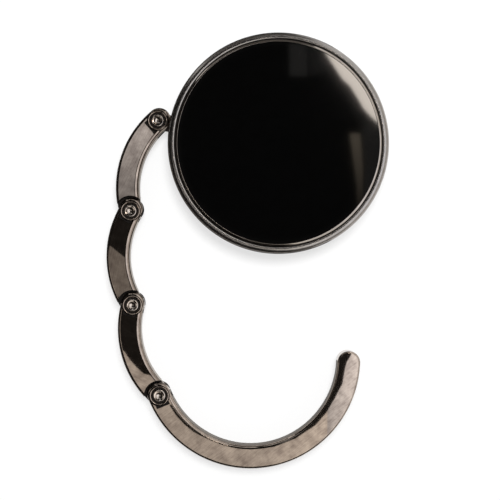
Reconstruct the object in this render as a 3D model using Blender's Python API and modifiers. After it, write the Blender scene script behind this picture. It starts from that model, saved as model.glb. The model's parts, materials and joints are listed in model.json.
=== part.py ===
"""Folding purse hook: a disc that lies on a table edge, and a chain of three links and a bag hook.

The origin is on the disc's axis, on the underside of the rubber pad. +Z is up, out of the disc's face.
The chain lies unfolded in the XY plane, and folds into the groove under the disc's flange.
Lengths are in metres.
"""

import math

import bmesh
import bpy
from mathutils import Matrix, Vector

# Disc cover: a flat flange with a raised rim
DISC_RADIUS = 0.0225
RIM_WIDTH = 0.00125
RIM_HEIGHT = 0.0028
RIM_FOOT_ROUND = 0.0004
FLANGE_THICKNESS = 0.0011

# Threaded standoffs, swaged into the flange and hanging through the hub
STANDOFF_RADIUS = 0.0018
STANDOFF_SHANK_RADIUS = 0.0012
STANDOFF_INSET = 0.0045

# Inlay: a thin tray with a bright lip, filled by a glossy face
INLAY_GROOVE = 0.0003
LIP_WIDTH = 0.0005
LIP_RISE = 0.0001
TRAY_THICKNESS = 0.0004
FACE_STEP = 0.00015
FACE_CROWN = 0.0002

# Hub, base plate and pad under the disc
HUB_RADIUS = 0.0135
PLATE_THICKNESS = 0.0009
PAD_THICKNESS = 0.001
PAD_MARGIN = 0.0003
PAD_EDGE_ROUND = 0.0002

# Base screws
SCREW_RADIUS = 0.00075
SCREW_LENGTH = 0.0034
SCREW_HEAD_RADIUS = 0.0017
SCREW_HEAD_HEIGHT = 0.0006
DRIVE_WIDTH = 0.00035
DRIVE_SPAN = 0.0018
DRIVE_DEPTH = 0.0003
PILOT_SPARE = 0.0003

# Swivel stud, the barrel that it turns in, and what holds it there
SHAFT_RADIUS = 0.00105
STUD_EYE_RADIUS = 0.0022
NECK_HALF = 0.0017
COLLAR_RADIUS = 0.0017
COLLAR_LENGTH = 0.00085
COLLAR_REACH = 0.0007
BARREL_RADIUS = 0.002
BARREL_SEAT = 0.0026
CLIP_RADIUS = 0.0019
CLIP_THICKNESS = 0.0005
CLIP_MOUTH = 0.0012
GROOVE_DEPTH = 0.0003
SPRING_THICKNESS = 0.00045
STUD_TAIL = 0.0008
CLIP_ROOM = 0.0003

# Keeper magnet over the folded tip
MAGNET_RADIUS = 0.0015
MAGNET_ROOF = 0.0003
MAGNET_INSET = 0.0026

# Chain: the first pivot stands clear of the rim, and each piece is a curved bar
PIVOT_STANDOFF = 0.0027
LINK_ARC_RADIUS = 0.0184
HOOK_ARC_RADIUS = 0.0202
LINK_WIDTH = 0.0047
LINK_THICKNESS = 0.0046
EDGE_ROUND = 0.00045
EYE_OVERHANG = 0.00042
SHOULDER_GAP = 0.00036
TONGUE_THICKNESS = 0.0016
FORK_CLEARANCE = 0.0003
MOUTH_CLEARANCE = 0.0007
WASHER_THICKNESS = 0.00025
WASHER_RADIUS = 0.0019

# Rivets and the pockets that their heads sit in
RIVET_RADIUS = 0.0009
RIVET_HEAD_RADIUS = 0.0013
RIVET_HEAD_ROUND = 0.00015
RIVET_HEAD_DROP = 0.0001
RIVET_DIMPLE_RADIUS = 0.0006
RIVET_DIMPLE_DEPTH = 0.00025
HEAD_POCKET_RADIUS = 0.00164
RING_WALL = 0.00045
RING_GROOVE = 0.00018
RING_GROOVE_DEPTH = 0.0003
POCKET_DEPTH = 0.0006
POCKET_WIDTH = 0.00287
POCKET_REACH = 0.00236

# Clearances: seated faces, turning fits, and links sliding under the flange
SEAT_GAP = 0.00005
TURN_GAP = 0.00007
SLIDE_GAP = 0.00025
OVERRUN = 0.0005

# Angles in degrees: the first pivot's bearing, the bars' spans, and each bar's heading from -Y to +X
PIVOT_BEARING = 168.9
LINK_SPAN = 63.48
HOOK_SPAN = 154.4
HEADINGS = (-16.8, 1.2, 16.6, 99.3)
FOLDS = (46.0, 23.0, 41.0, 33.0)
SCREW_TURNS = (60.0, 180.0, 300.0)

# Facets of round shapes
DISC_STEPS = 64
HUB_STEPS = 40
SMALL_STEPS = 20
CROWN_STEPS = 3
LINK_STEPS = 11
HOOK_STEPS = 26
CAP_STEPS = 8

# Heights, from the table up
HUB_BOTTOM = PAD_THICKNESS + PLATE_THICKNESS + 2 * SEAT_GAP
AXIS_HEIGHT = HUB_BOTTOM + BARREL_RADIUS + SEAT_GAP
HALF_LINK = LINK_THICKNESS / 2
FLANGE_BOTTOM = AXIS_HEIGHT + HALF_LINK + SLIDE_GAP
HUB_TOP = FLANGE_BOTTOM - SEAT_GAP
RECESS_FLOOR = FLANGE_BOTTOM + FLANGE_THICKNESS
RIM_TOP = FLANGE_BOTTOM + RIM_HEIGHT
TRAY_BOTTOM = RECESS_FLOOR + SEAT_GAP
LIP_TOP = RIM_TOP + LIP_RISE
FACE_BOTTOM = TRAY_BOTTOM + TRAY_THICKNESS + SEAT_GAP
FACE_EDGE_TOP = LIP_TOP - FACE_STEP
MAGNET_TOP = RECESS_FLOOR - MAGNET_ROOF

# Radii that follow from the pieces round them
RIM_INNER = DISC_RADIUS - RIM_WIDTH
TRAY_RADIUS = RIM_INNER - INLAY_GROOVE
LIP_INNER = TRAY_RADIUS - LIP_WIDTH
FACE_RADIUS = LIP_INNER - SEAT_GAP
HALF_WIDTH = LINK_WIDTH / 2
SHOULDER_RADIUS = HALF_WIDTH + EYE_OVERHANG + SHOULDER_GAP
FORK_RADIUS = HALF_WIDTH + FORK_CLEARANCE
HALF_TONGUE = TONGUE_THICKNESS / 2
FORK_TOP = HALF_TONGUE + TURN_GAP
FORK_BOTTOM = -(HALF_TONGUE + 2 * TURN_GAP + WASHER_THICKNESS)
POCKET_FLOOR = HALF_LINK - POCKET_DEPTH
RING_RADIUS = HEAD_POCKET_RADIUS + RING_WALL
RIVET_HOLE = RIVET_RADIUS + TURN_GAP
BARREL_BORE = SHAFT_RADIUS + TURN_GAP
PILOT_RADIUS = SCREW_RADIUS + TURN_GAP
STANDOFF_CIRCLE = HUB_RADIUS - STANDOFF_INSET

# Places along the stud's line, from the first pivot towards the disc's axis
PIVOT_OUT = DISC_RADIUS + PIVOT_STANDOFF
COLLAR_START = HALF_WIDTH + COLLAR_REACH
COLLAR_END = COLLAR_START + COLLAR_LENGTH
BARREL_START = COLLAR_END + TURN_GAP
CLIP_POCKET_START = PIVOT_OUT - HUB_RADIUS + BARREL_SEAT
SPRING_START = CLIP_POCKET_START + TURN_GAP
GROOVE_START = SPRING_START + SPRING_THICKNESS + SEAT_GAP
CLIP_START = GROOVE_START + SEAT_GAP
GROOVE_END = CLIP_START + CLIP_THICKNESS + SEAT_GAP
STUD_END = GROOVE_END + STUD_TAIL
CLIP_POCKET_END = STUD_END + CLIP_ROOM
CLIP_POCKET_HALF = CLIP_RADIUS + CLIP_ROOM

# Finishes as colour, metallic and roughness
FINISHES = {
    "satin_gunmetal": ((0.33, 0.30, 0.28), 1.0, 0.32),
    "polished_gunmetal": ((0.36, 0.32, 0.29), 1.0, 0.16),
    "bright_steel": ((0.62, 0.60, 0.57), 1.0, 0.2),
    "black_gloss": ((0.004, 0.004, 0.004), 0.0, 0.04),
    "black_rubber": ((0.02, 0.02, 0.02), 0.0, 0.8),
    "spring_steel": ((0.4, 0.4, 0.42), 1.0, 0.3),
    "magnet_nickel": ((0.6, 0.6, 0.6), 1.0, 0.25),
}


def clear_scene():
    """Removes every object that the scene starts with."""
    for obj in list(bpy.data.objects):
        bpy.data.objects.remove(obj, do_unlink=True)


def new_collection(name):
    """A collection linked to the scene."""
    group = bpy.data.collections.new(name)
    bpy.context.scene.collection.children.link(group)
    return group


def finish_of(obj, name):
    """Gives a piece its own material of a named finish."""
    colour, metallic, roughness = FINISHES[name]
    material = bpy.data.materials.new(f"{obj.name}_{name}")
    material.use_nodes = True
    shader = material.node_tree.nodes["Principled BSDF"]
    shader.inputs["Base Color"].default_value = (*colour, 1.0)
    shader.inputs["Metallic"].default_value = metallic
    shader.inputs["Roughness"].default_value = roughness
    obj.data.materials.append(material)


def add_object(name, mesh, group, parent=None, place=(0, 0, 0), turn=(0, 0, 0)):
    """Links a mesh, or an empty where mesh is None, at a place and turn in its parent's frame."""
    obj = bpy.data.objects.new(name, mesh)
    group.objects.link(obj)
    obj.parent = parent
    obj.location = place
    obj.rotation_euler = turn
    return obj


def smooth(mesh):
    """Shades round faces smooth and keeps the edges sharp."""
    mesh.shade_smooth()
    mesh.set_sharp_from_angle(angle=math.radians(35))


def rod_mesh(name, radius, low, high, steps=SMALL_STEPS, top_radius=None):
    """A cylinder or cone about Z, from low to high."""
    bm = bmesh.new()
    bmesh.ops.create_cone(
        bm,
        cap_ends=True,
        segments=steps,
        radius1=radius,
        radius2=radius if top_radius is None else top_radius,
        depth=high - low,
        matrix=Matrix.Translation((0, 0, (low + high) / 2)),
    )
    mesh = bpy.data.meshes.new(name)
    bm.to_mesh(mesh)
    bm.free()
    smooth(mesh)
    return mesh


def block_mesh(name, low, high):
    """A box between two corners."""
    low, high = Vector(low), Vector(high)
    bm = bmesh.new()
    size = Matrix.Diagonal((*(high - low), 1.0))
    bmesh.ops.create_cube(bm, size=1.0, matrix=Matrix.Translation((low + high) / 2) @ size)
    mesh = bpy.data.meshes.new(name)
    bm.to_mesh(mesh)
    bm.free()
    return mesh


def profile_mesh(name, profile, closed):
    """The edges of a turned profile, as (radius, height) points."""
    edges = [(i, i + 1) for i in range(len(profile) - 1)]
    if closed:
        edges.append((len(profile) - 1, 0))
    mesh = bpy.data.meshes.new(name)
    mesh.from_pydata([(r, 0.0, z) for r, z in profile], edges, [])
    return mesh


def turned(name, profile, group, steps, closed=False, **where):
    """A turned piece: the profile runs top to bottom on its outer side and is screwed about Z."""
    obj = add_object(name, profile_mesh(name, profile, closed), group, **where)
    screw = obj.modifiers.new("turn", "SCREW")
    screw.axis = "Z"
    screw.angle = 2 * math.pi
    screw.steps = screw.render_steps = steps
    screw.use_merge_vertices = True
    screw.merge_threshold = SEAT_GAP / 10
    screw.use_smooth_shade = True
    return obj


def ring_profile(inner, outer, low, high):
    """A plain ring's closed profile."""
    return [(outer, high), (outer, low), (inner, low), (inner, high)]


def slab_mesh(name, outline, low, high, edge=0.0):
    """A flat outline extruded from low to high, with its long edges rounded by edge."""
    curve = bpy.data.curves.new(name, "CURVE")
    curve.dimensions = "2D"
    curve.fill_mode = "BOTH"
    curve.extrude = (high - low) / 2 - edge
    curve.bevel_depth = edge
    curve.bevel_resolution = 1
    curve.offset = -edge
    spline = curve.splines.new("POLY")
    spline.points.add(len(outline) - 1)
    for point, (x, y) in zip(spline.points, outline):
        point.co = (x, y, 0.0, 1.0)
    spline.use_cyclic_u = True
    guide = bpy.data.objects.new(name, curve)
    bpy.context.scene.collection.objects.link(guide)
    graph = bpy.context.evaluated_depsgraph_get()
    mesh = bpy.data.meshes.new_from_object(guide.evaluated_get(graph))
    bpy.data.objects.remove(guide, do_unlink=True)
    bm = bmesh.new()
    bm.from_mesh(mesh)
    bmesh.ops.remove_doubles(bm, verts=bm.verts, dist=SEAT_GAP / 10)
    bmesh.ops.recalc_face_normals(bm, faces=bm.faces)
    bmesh.ops.translate(bm, verts=bm.verts, vec=(0, 0, (low + high) / 2))
    bm.to_mesh(mesh)
    bm.free()
    smooth(mesh)
    return mesh


def arc(centre, radius, start, end, steps):
    """Points along an arc, without its last one. Angles are in radians."""
    return [
        (
            centre[0] + radius * math.cos(start + (end - start) * i / steps),
            centre[1] + radius * math.sin(start + (end - start) * i / steps),
        )
        for i in range(steps)
    ]


def bar_chord(radius, span):
    """Distance between the ends of a bar's middle line."""
    return 2 * radius * math.sin(math.radians(span) / 2)


def bar_outline(radius, span, steps):
    """A curved bar with round ends, from a pivot at the origin along +X. It bulges to -Y."""
    half_span = math.radians(span) / 2
    centre = (radius * math.sin(half_span), radius * math.cos(half_span))
    start = -math.pi / 2 - half_span - EYE_OVERHANG / radius
    end = -math.pi / 2 + half_span
    first = (centre[0] + radius * math.cos(start), centre[1] + radius * math.sin(start))
    last = (centre[0] + radius * math.cos(end), centre[1] + radius * math.sin(end))
    return (
        arc(centre, radius + HALF_WIDTH, start, end, steps)
        + arc(last, HALF_WIDTH, end, end + math.pi, CAP_STEPS)
        + arc(centre, radius - HALF_WIDTH, end, start, steps)
        + arc(first, HALF_WIDTH, start + math.pi, start + 2 * math.pi, CAP_STEPS)
    )


def tunnel_outline(radius, reach):
    """A slot with one round end about the origin and its open end at -X."""
    round_end = arc((0, 0), radius, -math.pi / 2, math.pi / 2, SMALL_STEPS // 2)
    return [(-reach, -radius), *round_end, (0, radius), (-reach, radius)]


def pocket_outline():
    """The square recess behind a rivet's ring, along +X. Its near side lies inside the ring's groove."""
    half = POCKET_WIDTH / 2
    near_radius = RING_RADIUS + RING_GROOVE / 2
    half_angle = math.asin(half / near_radius)
    near = arc((0, 0), near_radius, half_angle, -half_angle, CAP_STEPS)
    return [(POCKET_REACH, -half), (POCKET_REACH, half), *near, (near_radius * math.cos(half_angle), -half)]


def boolean(obj, other, operation):
    """Joins or cuts a piece with a helper, which is then hidden."""
    modifier = obj.modifiers.new(other.name, "BOOLEAN")
    modifier.object = other
    modifier.operation = operation
    modifier.solver = "EXACT"
    other.hide_render = True
    other.display_type = "WIRE"


def cut(obj, mesh, cutters, **where):
    """Cuts a mesh, placed in a frame, out of a piece."""
    boolean(obj, add_object(f"cut_{mesh.name}", mesh, cutters, **where), "DIFFERENCE")


def cut_turned(obj, name, profile, cutters, **where):
    """Cuts a ring, given by its closed profile, out of a piece."""
    helper = turned(f"cut_{name}", profile, cutters, SMALL_STEPS, closed=True, **where)
    boolean(obj, helper, "DIFFERENCE")


def join(obj, mesh, cutters, **where):
    """Fuses a mesh, placed in a frame, to a piece."""
    boolean(obj, add_object(f"add_{mesh.name}", mesh, cutters, **where), "UNION")


def screw_places():
    """Where the base screws stand, on a circle about the disc's axis, clear of the stud."""
    angles = [math.radians(PIVOT_BEARING + turn) for turn in SCREW_TURNS]
    return [(STANDOFF_CIRCLE * math.cos(a), STANDOFF_CIRCLE * math.sin(a), 0.0) for a in angles]


def heading_vector(heading):
    """A direction in the XY plane, from -Y towards +X."""
    angle = math.radians(heading)
    return Vector((math.sin(angle), -math.cos(angle)))


def first_pivot():
    """The first pivot's place in plan."""
    bearing = math.radians(PIVOT_BEARING)
    return Vector((PIVOT_OUT * math.cos(bearing), PIVOT_OUT * math.sin(bearing)))


def folded_tip():
    """Where the hook's tip lies when the chain is folded round the hub."""
    chords = [bar_chord(LINK_ARC_RADIUS, LINK_SPAN)] * 3 + [bar_chord(HOOK_ARC_RADIUS, HOOK_SPAN)]
    place = first_pivot()
    folded = 0.0
    for chord, heading, fold in zip(chords, HEADINGS, FOLDS):
        folded += fold
        place += chord * heading_vector(heading + folded)
    return place


def magnet_place():
    """The magnet's place in the flange: at the folded tip's bearing, a set way in from the rim."""
    x, y = folded_tip().normalized() * (DISC_RADIUS - MAGNET_INSET)
    return (x, y, 0.0)


def make_frames(group):
    """Empties: the stud's fixed line, the swivel, and one for each pivot, each on its joint's axis."""
    x, y = first_pivot()
    inward = math.radians(PIVOT_BEARING + 180.0)
    line = add_object("stud_line", None, group, place=(x, y, AXIS_HEIGHT), turn=(0, 0, inward))
    swivel = add_object("swivel_axis", None, group, parent=line)
    pivots = []
    parent, place, facing = swivel, (0, 0, 0), PIVOT_BEARING + 180.0
    for number, heading in enumerate(HEADINGS, 1):
        turn = math.radians(heading - 90.0 - facing)
        pivots.append(add_object(f"pivot_{number}", None, group, parent, place, (0, 0, turn)))
        parent, facing = pivots[-1], heading - 90.0
        place = (bar_chord(LINK_ARC_RADIUS, LINK_SPAN), 0, 0)
    return line, swivel, pivots


def make_cover(group, cutters):
    """The disc cover: a flange with a convex rim, holes for the standoffs and a seat for the magnet."""
    half_rim = RIM_WIDTH / 2
    crown = (DISC_RADIUS - half_rim, RIM_TOP - half_rim)
    rim = [
        (crown[0] + half_rim * math.cos(a), crown[1] + half_rim * math.sin(a))
        for a in (math.pi * (1 - i / (2 * CROWN_STEPS)) for i in range(2 * CROWN_STEPS + 1))
    ]
    profile = [
        (0.0, RECESS_FLOOR),
        (RIM_INNER, RECESS_FLOOR),
        *rim,
        (DISC_RADIUS, FLANGE_BOTTOM + RIM_FOOT_ROUND),
        (DISC_RADIUS - RIM_FOOT_ROUND, FLANGE_BOTTOM),
        (0.0, FLANGE_BOTTOM),
    ]
    cover = turned("cover_disc", profile, group, DISC_STEPS)
    low, high = FLANGE_BOTTOM - OVERRUN, RECESS_FLOOR + OVERRUN
    for number, place in enumerate(screw_places(), 1):
        hole = rod_mesh(f"shank_hole_{number}", STANDOFF_SHANK_RADIUS + SEAT_GAP, low, high)
        cut(cover, hole, cutters, place=place)
    seat = rod_mesh("magnet_seat", MAGNET_RADIUS + SEAT_GAP, low, MAGNET_TOP + SEAT_GAP)
    cut(cover, seat, cutters, place=magnet_place())
    finish_of(cover, "satin_gunmetal")


def make_standoffs(group):
    """The threaded standoffs that the base screws pull on, held in the flange by their shanks."""
    bottom = HUB_BOTTOM + SEAT_GAP
    shoulder = HUB_TOP
    hole_top = PAD_THICKNESS + SEAT_GAP + SCREW_LENGTH + PILOT_SPARE
    profile = [
        (0.0, RECESS_FLOOR),
        (STANDOFF_SHANK_RADIUS, RECESS_FLOOR),
        (STANDOFF_SHANK_RADIUS, shoulder),
        (STANDOFF_RADIUS, shoulder),
        (STANDOFF_RADIUS, bottom),
        (PILOT_RADIUS, bottom),
        (PILOT_RADIUS, hole_top),
        (0.0, hole_top),
    ]
    for number, place in enumerate(screw_places(), 1):
        finish_of(turned(f"standoff_{number}", profile, group, SMALL_STEPS, place=place), "bright_steel")


def make_magnet(group):
    """The keeper magnet, set in the flange's underside over the folded tip."""
    mesh = rod_mesh("keeper_magnet", MAGNET_RADIUS, FLANGE_BOTTOM + SEAT_GAP, MAGNET_TOP)
    finish_of(add_object("keeper_magnet", mesh, group, place=magnet_place()), "magnet_nickel")


def make_inlay(group):
    """The tray with its lip, and the domed face that fills it."""
    half_lip = LIP_WIDTH / 2
    tray = [
        (0.0, TRAY_BOTTOM + TRAY_THICKNESS),
        (LIP_INNER, TRAY_BOTTOM + TRAY_THICKNESS),
        (LIP_INNER, LIP_TOP - half_lip),
        (LIP_INNER + half_lip, LIP_TOP),
        (TRAY_RADIUS, LIP_TOP - half_lip),
        (TRAY_RADIUS, TRAY_BOTTOM),
        (0.0, TRAY_BOTTOM),
    ]
    finish_of(turned("inlay_tray", tray, group, DISC_STEPS), "bright_steel")
    dome = [
        (FACE_RADIUS * i / CROWN_STEPS, FACE_EDGE_TOP + FACE_CROWN * (1 - (i / CROWN_STEPS) ** 2))
        for i in range(CROWN_STEPS + 1)
    ]
    face = [*dome, (FACE_RADIUS, FACE_BOTTOM), (0.0, FACE_BOTTOM)]
    finish_of(turned("inlay_face", face, group, DISC_STEPS), "black_gloss")


def make_hub(group, cutters, line):
    """The hub block, with a channel for the barrel, a pocket for the clip and wells for the standoffs."""
    profile = [(0.0, HUB_TOP), (HUB_RADIUS, HUB_TOP), (HUB_RADIUS, HUB_BOTTOM), (0.0, HUB_BOTTOM)]
    hub = turned("hub_block", profile, group, HUB_STEPS)
    depth = AXIS_HEIGHT - HUB_BOTTOM + OVERRUN
    start = PIVOT_OUT - HUB_RADIUS - OVERRUN
    outline = tunnel_outline(BARREL_RADIUS + SEAT_GAP, depth)
    channel = slab_mesh("channel", outline, start, CLIP_POCKET_START + OVERRUN)
    cut(hub, channel, cutters, parent=line, turn=(math.pi, -math.pi / 2, 0))
    low = (CLIP_POCKET_START, -CLIP_POCKET_HALF, -depth)
    high = (CLIP_POCKET_END, CLIP_POCKET_HALF, CLIP_POCKET_HALF)
    cut(hub, block_mesh("clip_pocket", low, high), cutters, parent=line)
    for number, place in enumerate(screw_places(), 1):
        well = rod_mesh(f"well_{number}", STANDOFF_RADIUS + SEAT_GAP, HUB_BOTTOM - OVERRUN, HUB_TOP + OVERRUN)
        cut(hub, well, cutters, place=place)
    finish_of(hub, "satin_gunmetal")


def make_base(group, cutters):
    """The base plate, its countersunk screws and the rubber pad."""
    plate_bottom = PAD_THICKNESS + SEAT_GAP
    plate_top = plate_bottom + PLATE_THICKNESS
    profile = [(0.0, plate_top), (HUB_RADIUS, plate_top), (HUB_RADIUS, plate_bottom), (0.0, plate_bottom)]
    plate = turned("base_plate", profile, group, HUB_STEPS)
    head_top = plate_bottom + SCREW_HEAD_HEIGHT
    for number, place in enumerate(screw_places(), 1):
        hole = rod_mesh(f"plate_hole_{number}", PILOT_RADIUS, plate_bottom - OVERRUN, plate_top + OVERRUN)
        cut(plate, hole, cutters, place=place)
        sink_radius = SCREW_HEAD_RADIUS + TURN_GAP
        sink_top = head_top + SEAT_GAP
        sink = rod_mesh(f"sink_{number}", sink_radius, plate_bottom, sink_top, top_radius=PILOT_RADIUS)
        cut(plate, sink, cutters, place=place)
        make_screw(number, place, plate_bottom, head_top, group, cutters)
    finish_of(plate, "bright_steel")
    pad_radius = HUB_RADIUS - PAD_MARGIN
    pad = [
        (0.0, PAD_THICKNESS),
        (pad_radius, PAD_THICKNESS),
        (pad_radius, PAD_EDGE_ROUND),
        (pad_radius - PAD_EDGE_ROUND, 0.0),
        (0.0, 0.0),
    ]
    finish_of(turned("anti_slip_pad", pad, group, HUB_STEPS), "black_rubber")


def make_screw(number, place, bottom, head_top, group, cutters):
    """A countersunk screw with a cross drive in its underside."""
    head_bottom = bottom + SEAT_GAP
    profile = [
        (0.0, bottom + SCREW_LENGTH),
        (SCREW_RADIUS, bottom + SCREW_LENGTH),
        (SCREW_RADIUS, head_top),
        (SCREW_HEAD_RADIUS, head_bottom),
        (0.0, head_bottom),
    ]
    screw = turned(f"base_screw_{number}", profile, group, SMALL_STEPS, place=place)
    half_span, half_width = DRIVE_SPAN / 2, DRIVE_WIDTH / 2
    for arm, (x, y) in enumerate(((half_span, half_width), (half_width, half_span))):
        low = (-x, -y, head_bottom - OVERRUN)
        high = (x, y, head_bottom + DRIVE_DEPTH)
        cut(screw, block_mesh(f"drive_{number}_{arm}", low, high), cutters, place=place)
    finish_of(screw, "bright_steel")


def make_swivel(group, cutters, line, swivel):
    """The swivel stud, its barrel, and the spring washer and clip that hold it in."""
    along = {"turn": (0, math.pi / 2, 0)}
    groove_radius = SHAFT_RADIUS - GROOVE_DEPTH
    profile = [
        (0.0, STUD_END),
        (SHAFT_RADIUS, STUD_END),
        (SHAFT_RADIUS, GROOVE_END),
        (groove_radius, GROOVE_END),
        (groove_radius, GROOVE_START),
        (SHAFT_RADIUS, GROOVE_START),
        (SHAFT_RADIUS, COLLAR_END),
        (COLLAR_RADIUS, COLLAR_END),
        (COLLAR_RADIUS, COLLAR_START),
        (0.0, COLLAR_START),
    ]
    stud = turned("swivel_stud", profile, group, SMALL_STEPS, parent=swivel, **along)
    tongue_reach = COLLAR_START + COLLAR_LENGTH / 2
    eye = rod_mesh("stud_eye", STUD_EYE_RADIUS, -HALF_TONGUE, HALF_TONGUE)
    neck = block_mesh("stud_neck", (0, -NECK_HALF, -HALF_TONGUE), (tongue_reach, NECK_HALF, HALF_TONGUE))
    join(stud, neck, cutters, parent=swivel)
    join(stud, eye, cutters, parent=swivel)
    cut(stud, rod_mesh("stud_hole", RIVET_HOLE, -HALF_LINK, HALF_LINK), cutters, parent=swivel)
    finish_of(stud, "polished_gunmetal")

    barrel = ring_profile(BARREL_BORE, BARREL_RADIUS, BARREL_START, CLIP_POCKET_START)
    barrel_piece = turned("swivel_barrel", barrel, group, SMALL_STEPS, closed=True, parent=line, **along)
    finish_of(barrel_piece, "bright_steel")
    spring = ring_profile(BARREL_BORE, CLIP_RADIUS, SPRING_START, SPRING_START + SPRING_THICKNESS)
    spring_piece = turned("spring_washer", spring, group, SMALL_STEPS, closed=True, parent=swivel, **along)
    finish_of(spring_piece, "spring_steel")
    clip = ring_profile(groove_radius + TURN_GAP, CLIP_RADIUS, CLIP_START, CLIP_START + CLIP_THICKNESS)
    clip_piece = turned("retaining_clip", clip, group, SMALL_STEPS, closed=True, parent=swivel, **along)
    low = (CLIP_START - OVERRUN, -CLIP_MOUTH / 2, -CLIP_RADIUS - OVERRUN)
    high = (CLIP_START + CLIP_THICKNESS + OVERRUN, CLIP_MOUTH / 2, 0.0)
    cut(clip_piece, block_mesh("clip_mouth", low, high), cutters, parent=swivel)
    finish_of(clip_piece, "spring_steel")


def make_bar(name, radius, span, steps, group, pivot):
    """The plain curved bar of a link or the hook, in its first pivot's frame."""
    outline = bar_outline(radius, span, steps)
    mesh = slab_mesh(name, outline, -HALF_LINK, HALF_LINK, EDGE_ROUND)
    return add_object(name, mesh, group, parent=pivot)


def cut_fork(bar, span, cutters, pivot, mouth=0.0):
    """Cuts the fork, its rivet hole and both rivet pockets at a bar's first pivot."""
    tangent = {"parent": pivot, "turn": (0, 0, -math.radians(span) / 2)}
    slot = slab_mesh(f"{bar.name}_slot", tunnel_outline(FORK_RADIUS, LINK_WIDTH), FORK_BOTTOM, FORK_TOP)
    cut(bar, slot, cutters, **tangent)
    if mouth:
        side = block_mesh(f"{bar.name}_mouth", (-LINK_WIDTH, 0, FORK_BOTTOM), (mouth, LINK_WIDTH, FORK_TOP))
        cut(bar, side, cutters, **tangent)
    hole = rod_mesh(f"{bar.name}_hole", RIVET_HOLE, -HALF_LINK - OVERRUN, HALF_LINK + OVERRUN)
    cut(bar, hole, cutters, parent=pivot)
    outside = HALF_LINK + OVERRUN
    ring = (RING_RADIUS, RING_RADIUS + RING_GROOVE)
    for side, flip in (("top", 0.0), ("bottom", math.pi)):
        faced = {"parent": pivot, "turn": (flip, 0, 0)}
        seat = rod_mesh(f"{bar.name}_{side}_seat", HEAD_POCKET_RADIUS, POCKET_FLOOR, outside)
        cut(bar, seat, cutters, **faced)
        groove = ring_profile(*ring, HALF_LINK - RING_GROOVE_DEPTH, outside)
        cut_turned(bar, f"{bar.name}_{side}_groove", groove, cutters, **faced)
        pocket = slab_mesh(f"{bar.name}_{side}_pocket", pocket_outline(), POCKET_FLOOR, outside)
        cut(bar, pocket, cutters, parent=pivot, turn=(flip, 0, -math.radians(span) / 2))


def cut_tongue(bar, cutters, pivot):
    """Cuts both shoulders and the rivet hole of the tongue at a link's far pivot."""
    far = {"parent": pivot, "place": (bar_chord(LINK_ARC_RADIUS, LINK_SPAN), 0, 0)}
    outside = HALF_LINK + OVERRUN
    top = rod_mesh(f"{bar.name}_top_shoulder", SHOULDER_RADIUS, HALF_TONGUE, outside, HUB_STEPS)
    bottom = rod_mesh(f"{bar.name}_bottom_shoulder", SHOULDER_RADIUS, -outside, -HALF_TONGUE, HUB_STEPS)
    hole = rod_mesh(f"{bar.name}_tongue_hole", RIVET_HOLE, -HALF_LINK, HALF_LINK)
    for mesh in (top, bottom, hole):
        cut(bar, mesh, cutters, **far)


def make_rivet(number, group, pivot):
    """A rivet with a rolled, dimpled head at each end."""
    head_top = HALF_LINK - RIVET_HEAD_DROP
    head_foot = POCKET_FLOOR + SEAT_GAP
    upper = [
        (0.0, head_top - RIVET_DIMPLE_DEPTH),
        (RIVET_DIMPLE_RADIUS / 2, head_top - RIVET_DIMPLE_DEPTH),
        (RIVET_DIMPLE_RADIUS, head_top),
        (RIVET_HEAD_RADIUS - RIVET_HEAD_ROUND, head_top),
        (RIVET_HEAD_RADIUS, head_top - RIVET_HEAD_ROUND),
        (RIVET_HEAD_RADIUS, head_foot),
        (RIVET_RADIUS, head_foot),
    ]
    profile = upper + [(r, -z) for r, z in reversed(upper)]
    finish_of(turned(f"rivet_{number}", profile, group, SMALL_STEPS, parent=pivot), "polished_gunmetal")
    washer_top = -HALF_TONGUE - TURN_GAP
    washer = ring_profile(RIVET_HOLE, WASHER_RADIUS, washer_top - WASHER_THICKNESS, washer_top)
    piece = turned(f"friction_washer_{number}", washer, group, SMALL_STEPS, closed=True, parent=pivot)
    finish_of(piece, "spring_steel")


def make_chain(group, cutters, pivots):
    """Three links, the hook, and the rivet and washer at each pivot."""
    for number, pivot in enumerate(pivots[:-1], 1):
        link = make_bar(f"link_{number}", LINK_ARC_RADIUS, LINK_SPAN, LINK_STEPS, group, pivot)
        mouth = NECK_HALF + MOUTH_CLEARANCE if number == 1 else 0.0
        cut_fork(link, LINK_SPAN, cutters, pivot, mouth)
        cut_tongue(link, cutters, pivot)
        finish_of(link, "polished_gunmetal")
    hook = make_bar("hook_end", HOOK_ARC_RADIUS, HOOK_SPAN, HOOK_STEPS, group, pivots[-1])
    cut_fork(hook, HOOK_SPAN, cutters, pivots[-1])
    finish_of(hook, "polished_gunmetal")
    for number, pivot in enumerate(pivots, 1):
        make_rivet(number, group, pivot)


def main():
    """Builds the purse hook in its unfolded pose."""
    clear_scene()
    group = new_collection("purse_hook")
    cutters = new_collection("cutters")
    line, swivel, pivots = make_frames(group)
    make_cover(group, cutters)
    make_standoffs(group)
    make_magnet(group)
    make_inlay(group)
    make_hub(group, cutters, line)
    make_base(group, cutters)
    make_swivel(group, cutters, line, swivel)
    make_chain(group, cutters, pivots)


main()
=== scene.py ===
"""Looks of the folding purse hook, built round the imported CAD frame.

Every piece that shows is made again here with finer edges, in the place that the CAD gives it and within a
few tenths of a millimetre of its size. Lengths are in metres, in the row frame: the origin is under the pad
and +Z is up, out of the disc's face. Only the sizes of a finish's pattern are in millimetres, as are the
places in plan that say so.
"""

import json
import logging
import math
from dataclasses import dataclass, field
from enum import Enum
from typing import Any, Callable, Sequence

import bmesh
import bpy
from mathutils import Matrix, Vector


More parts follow.
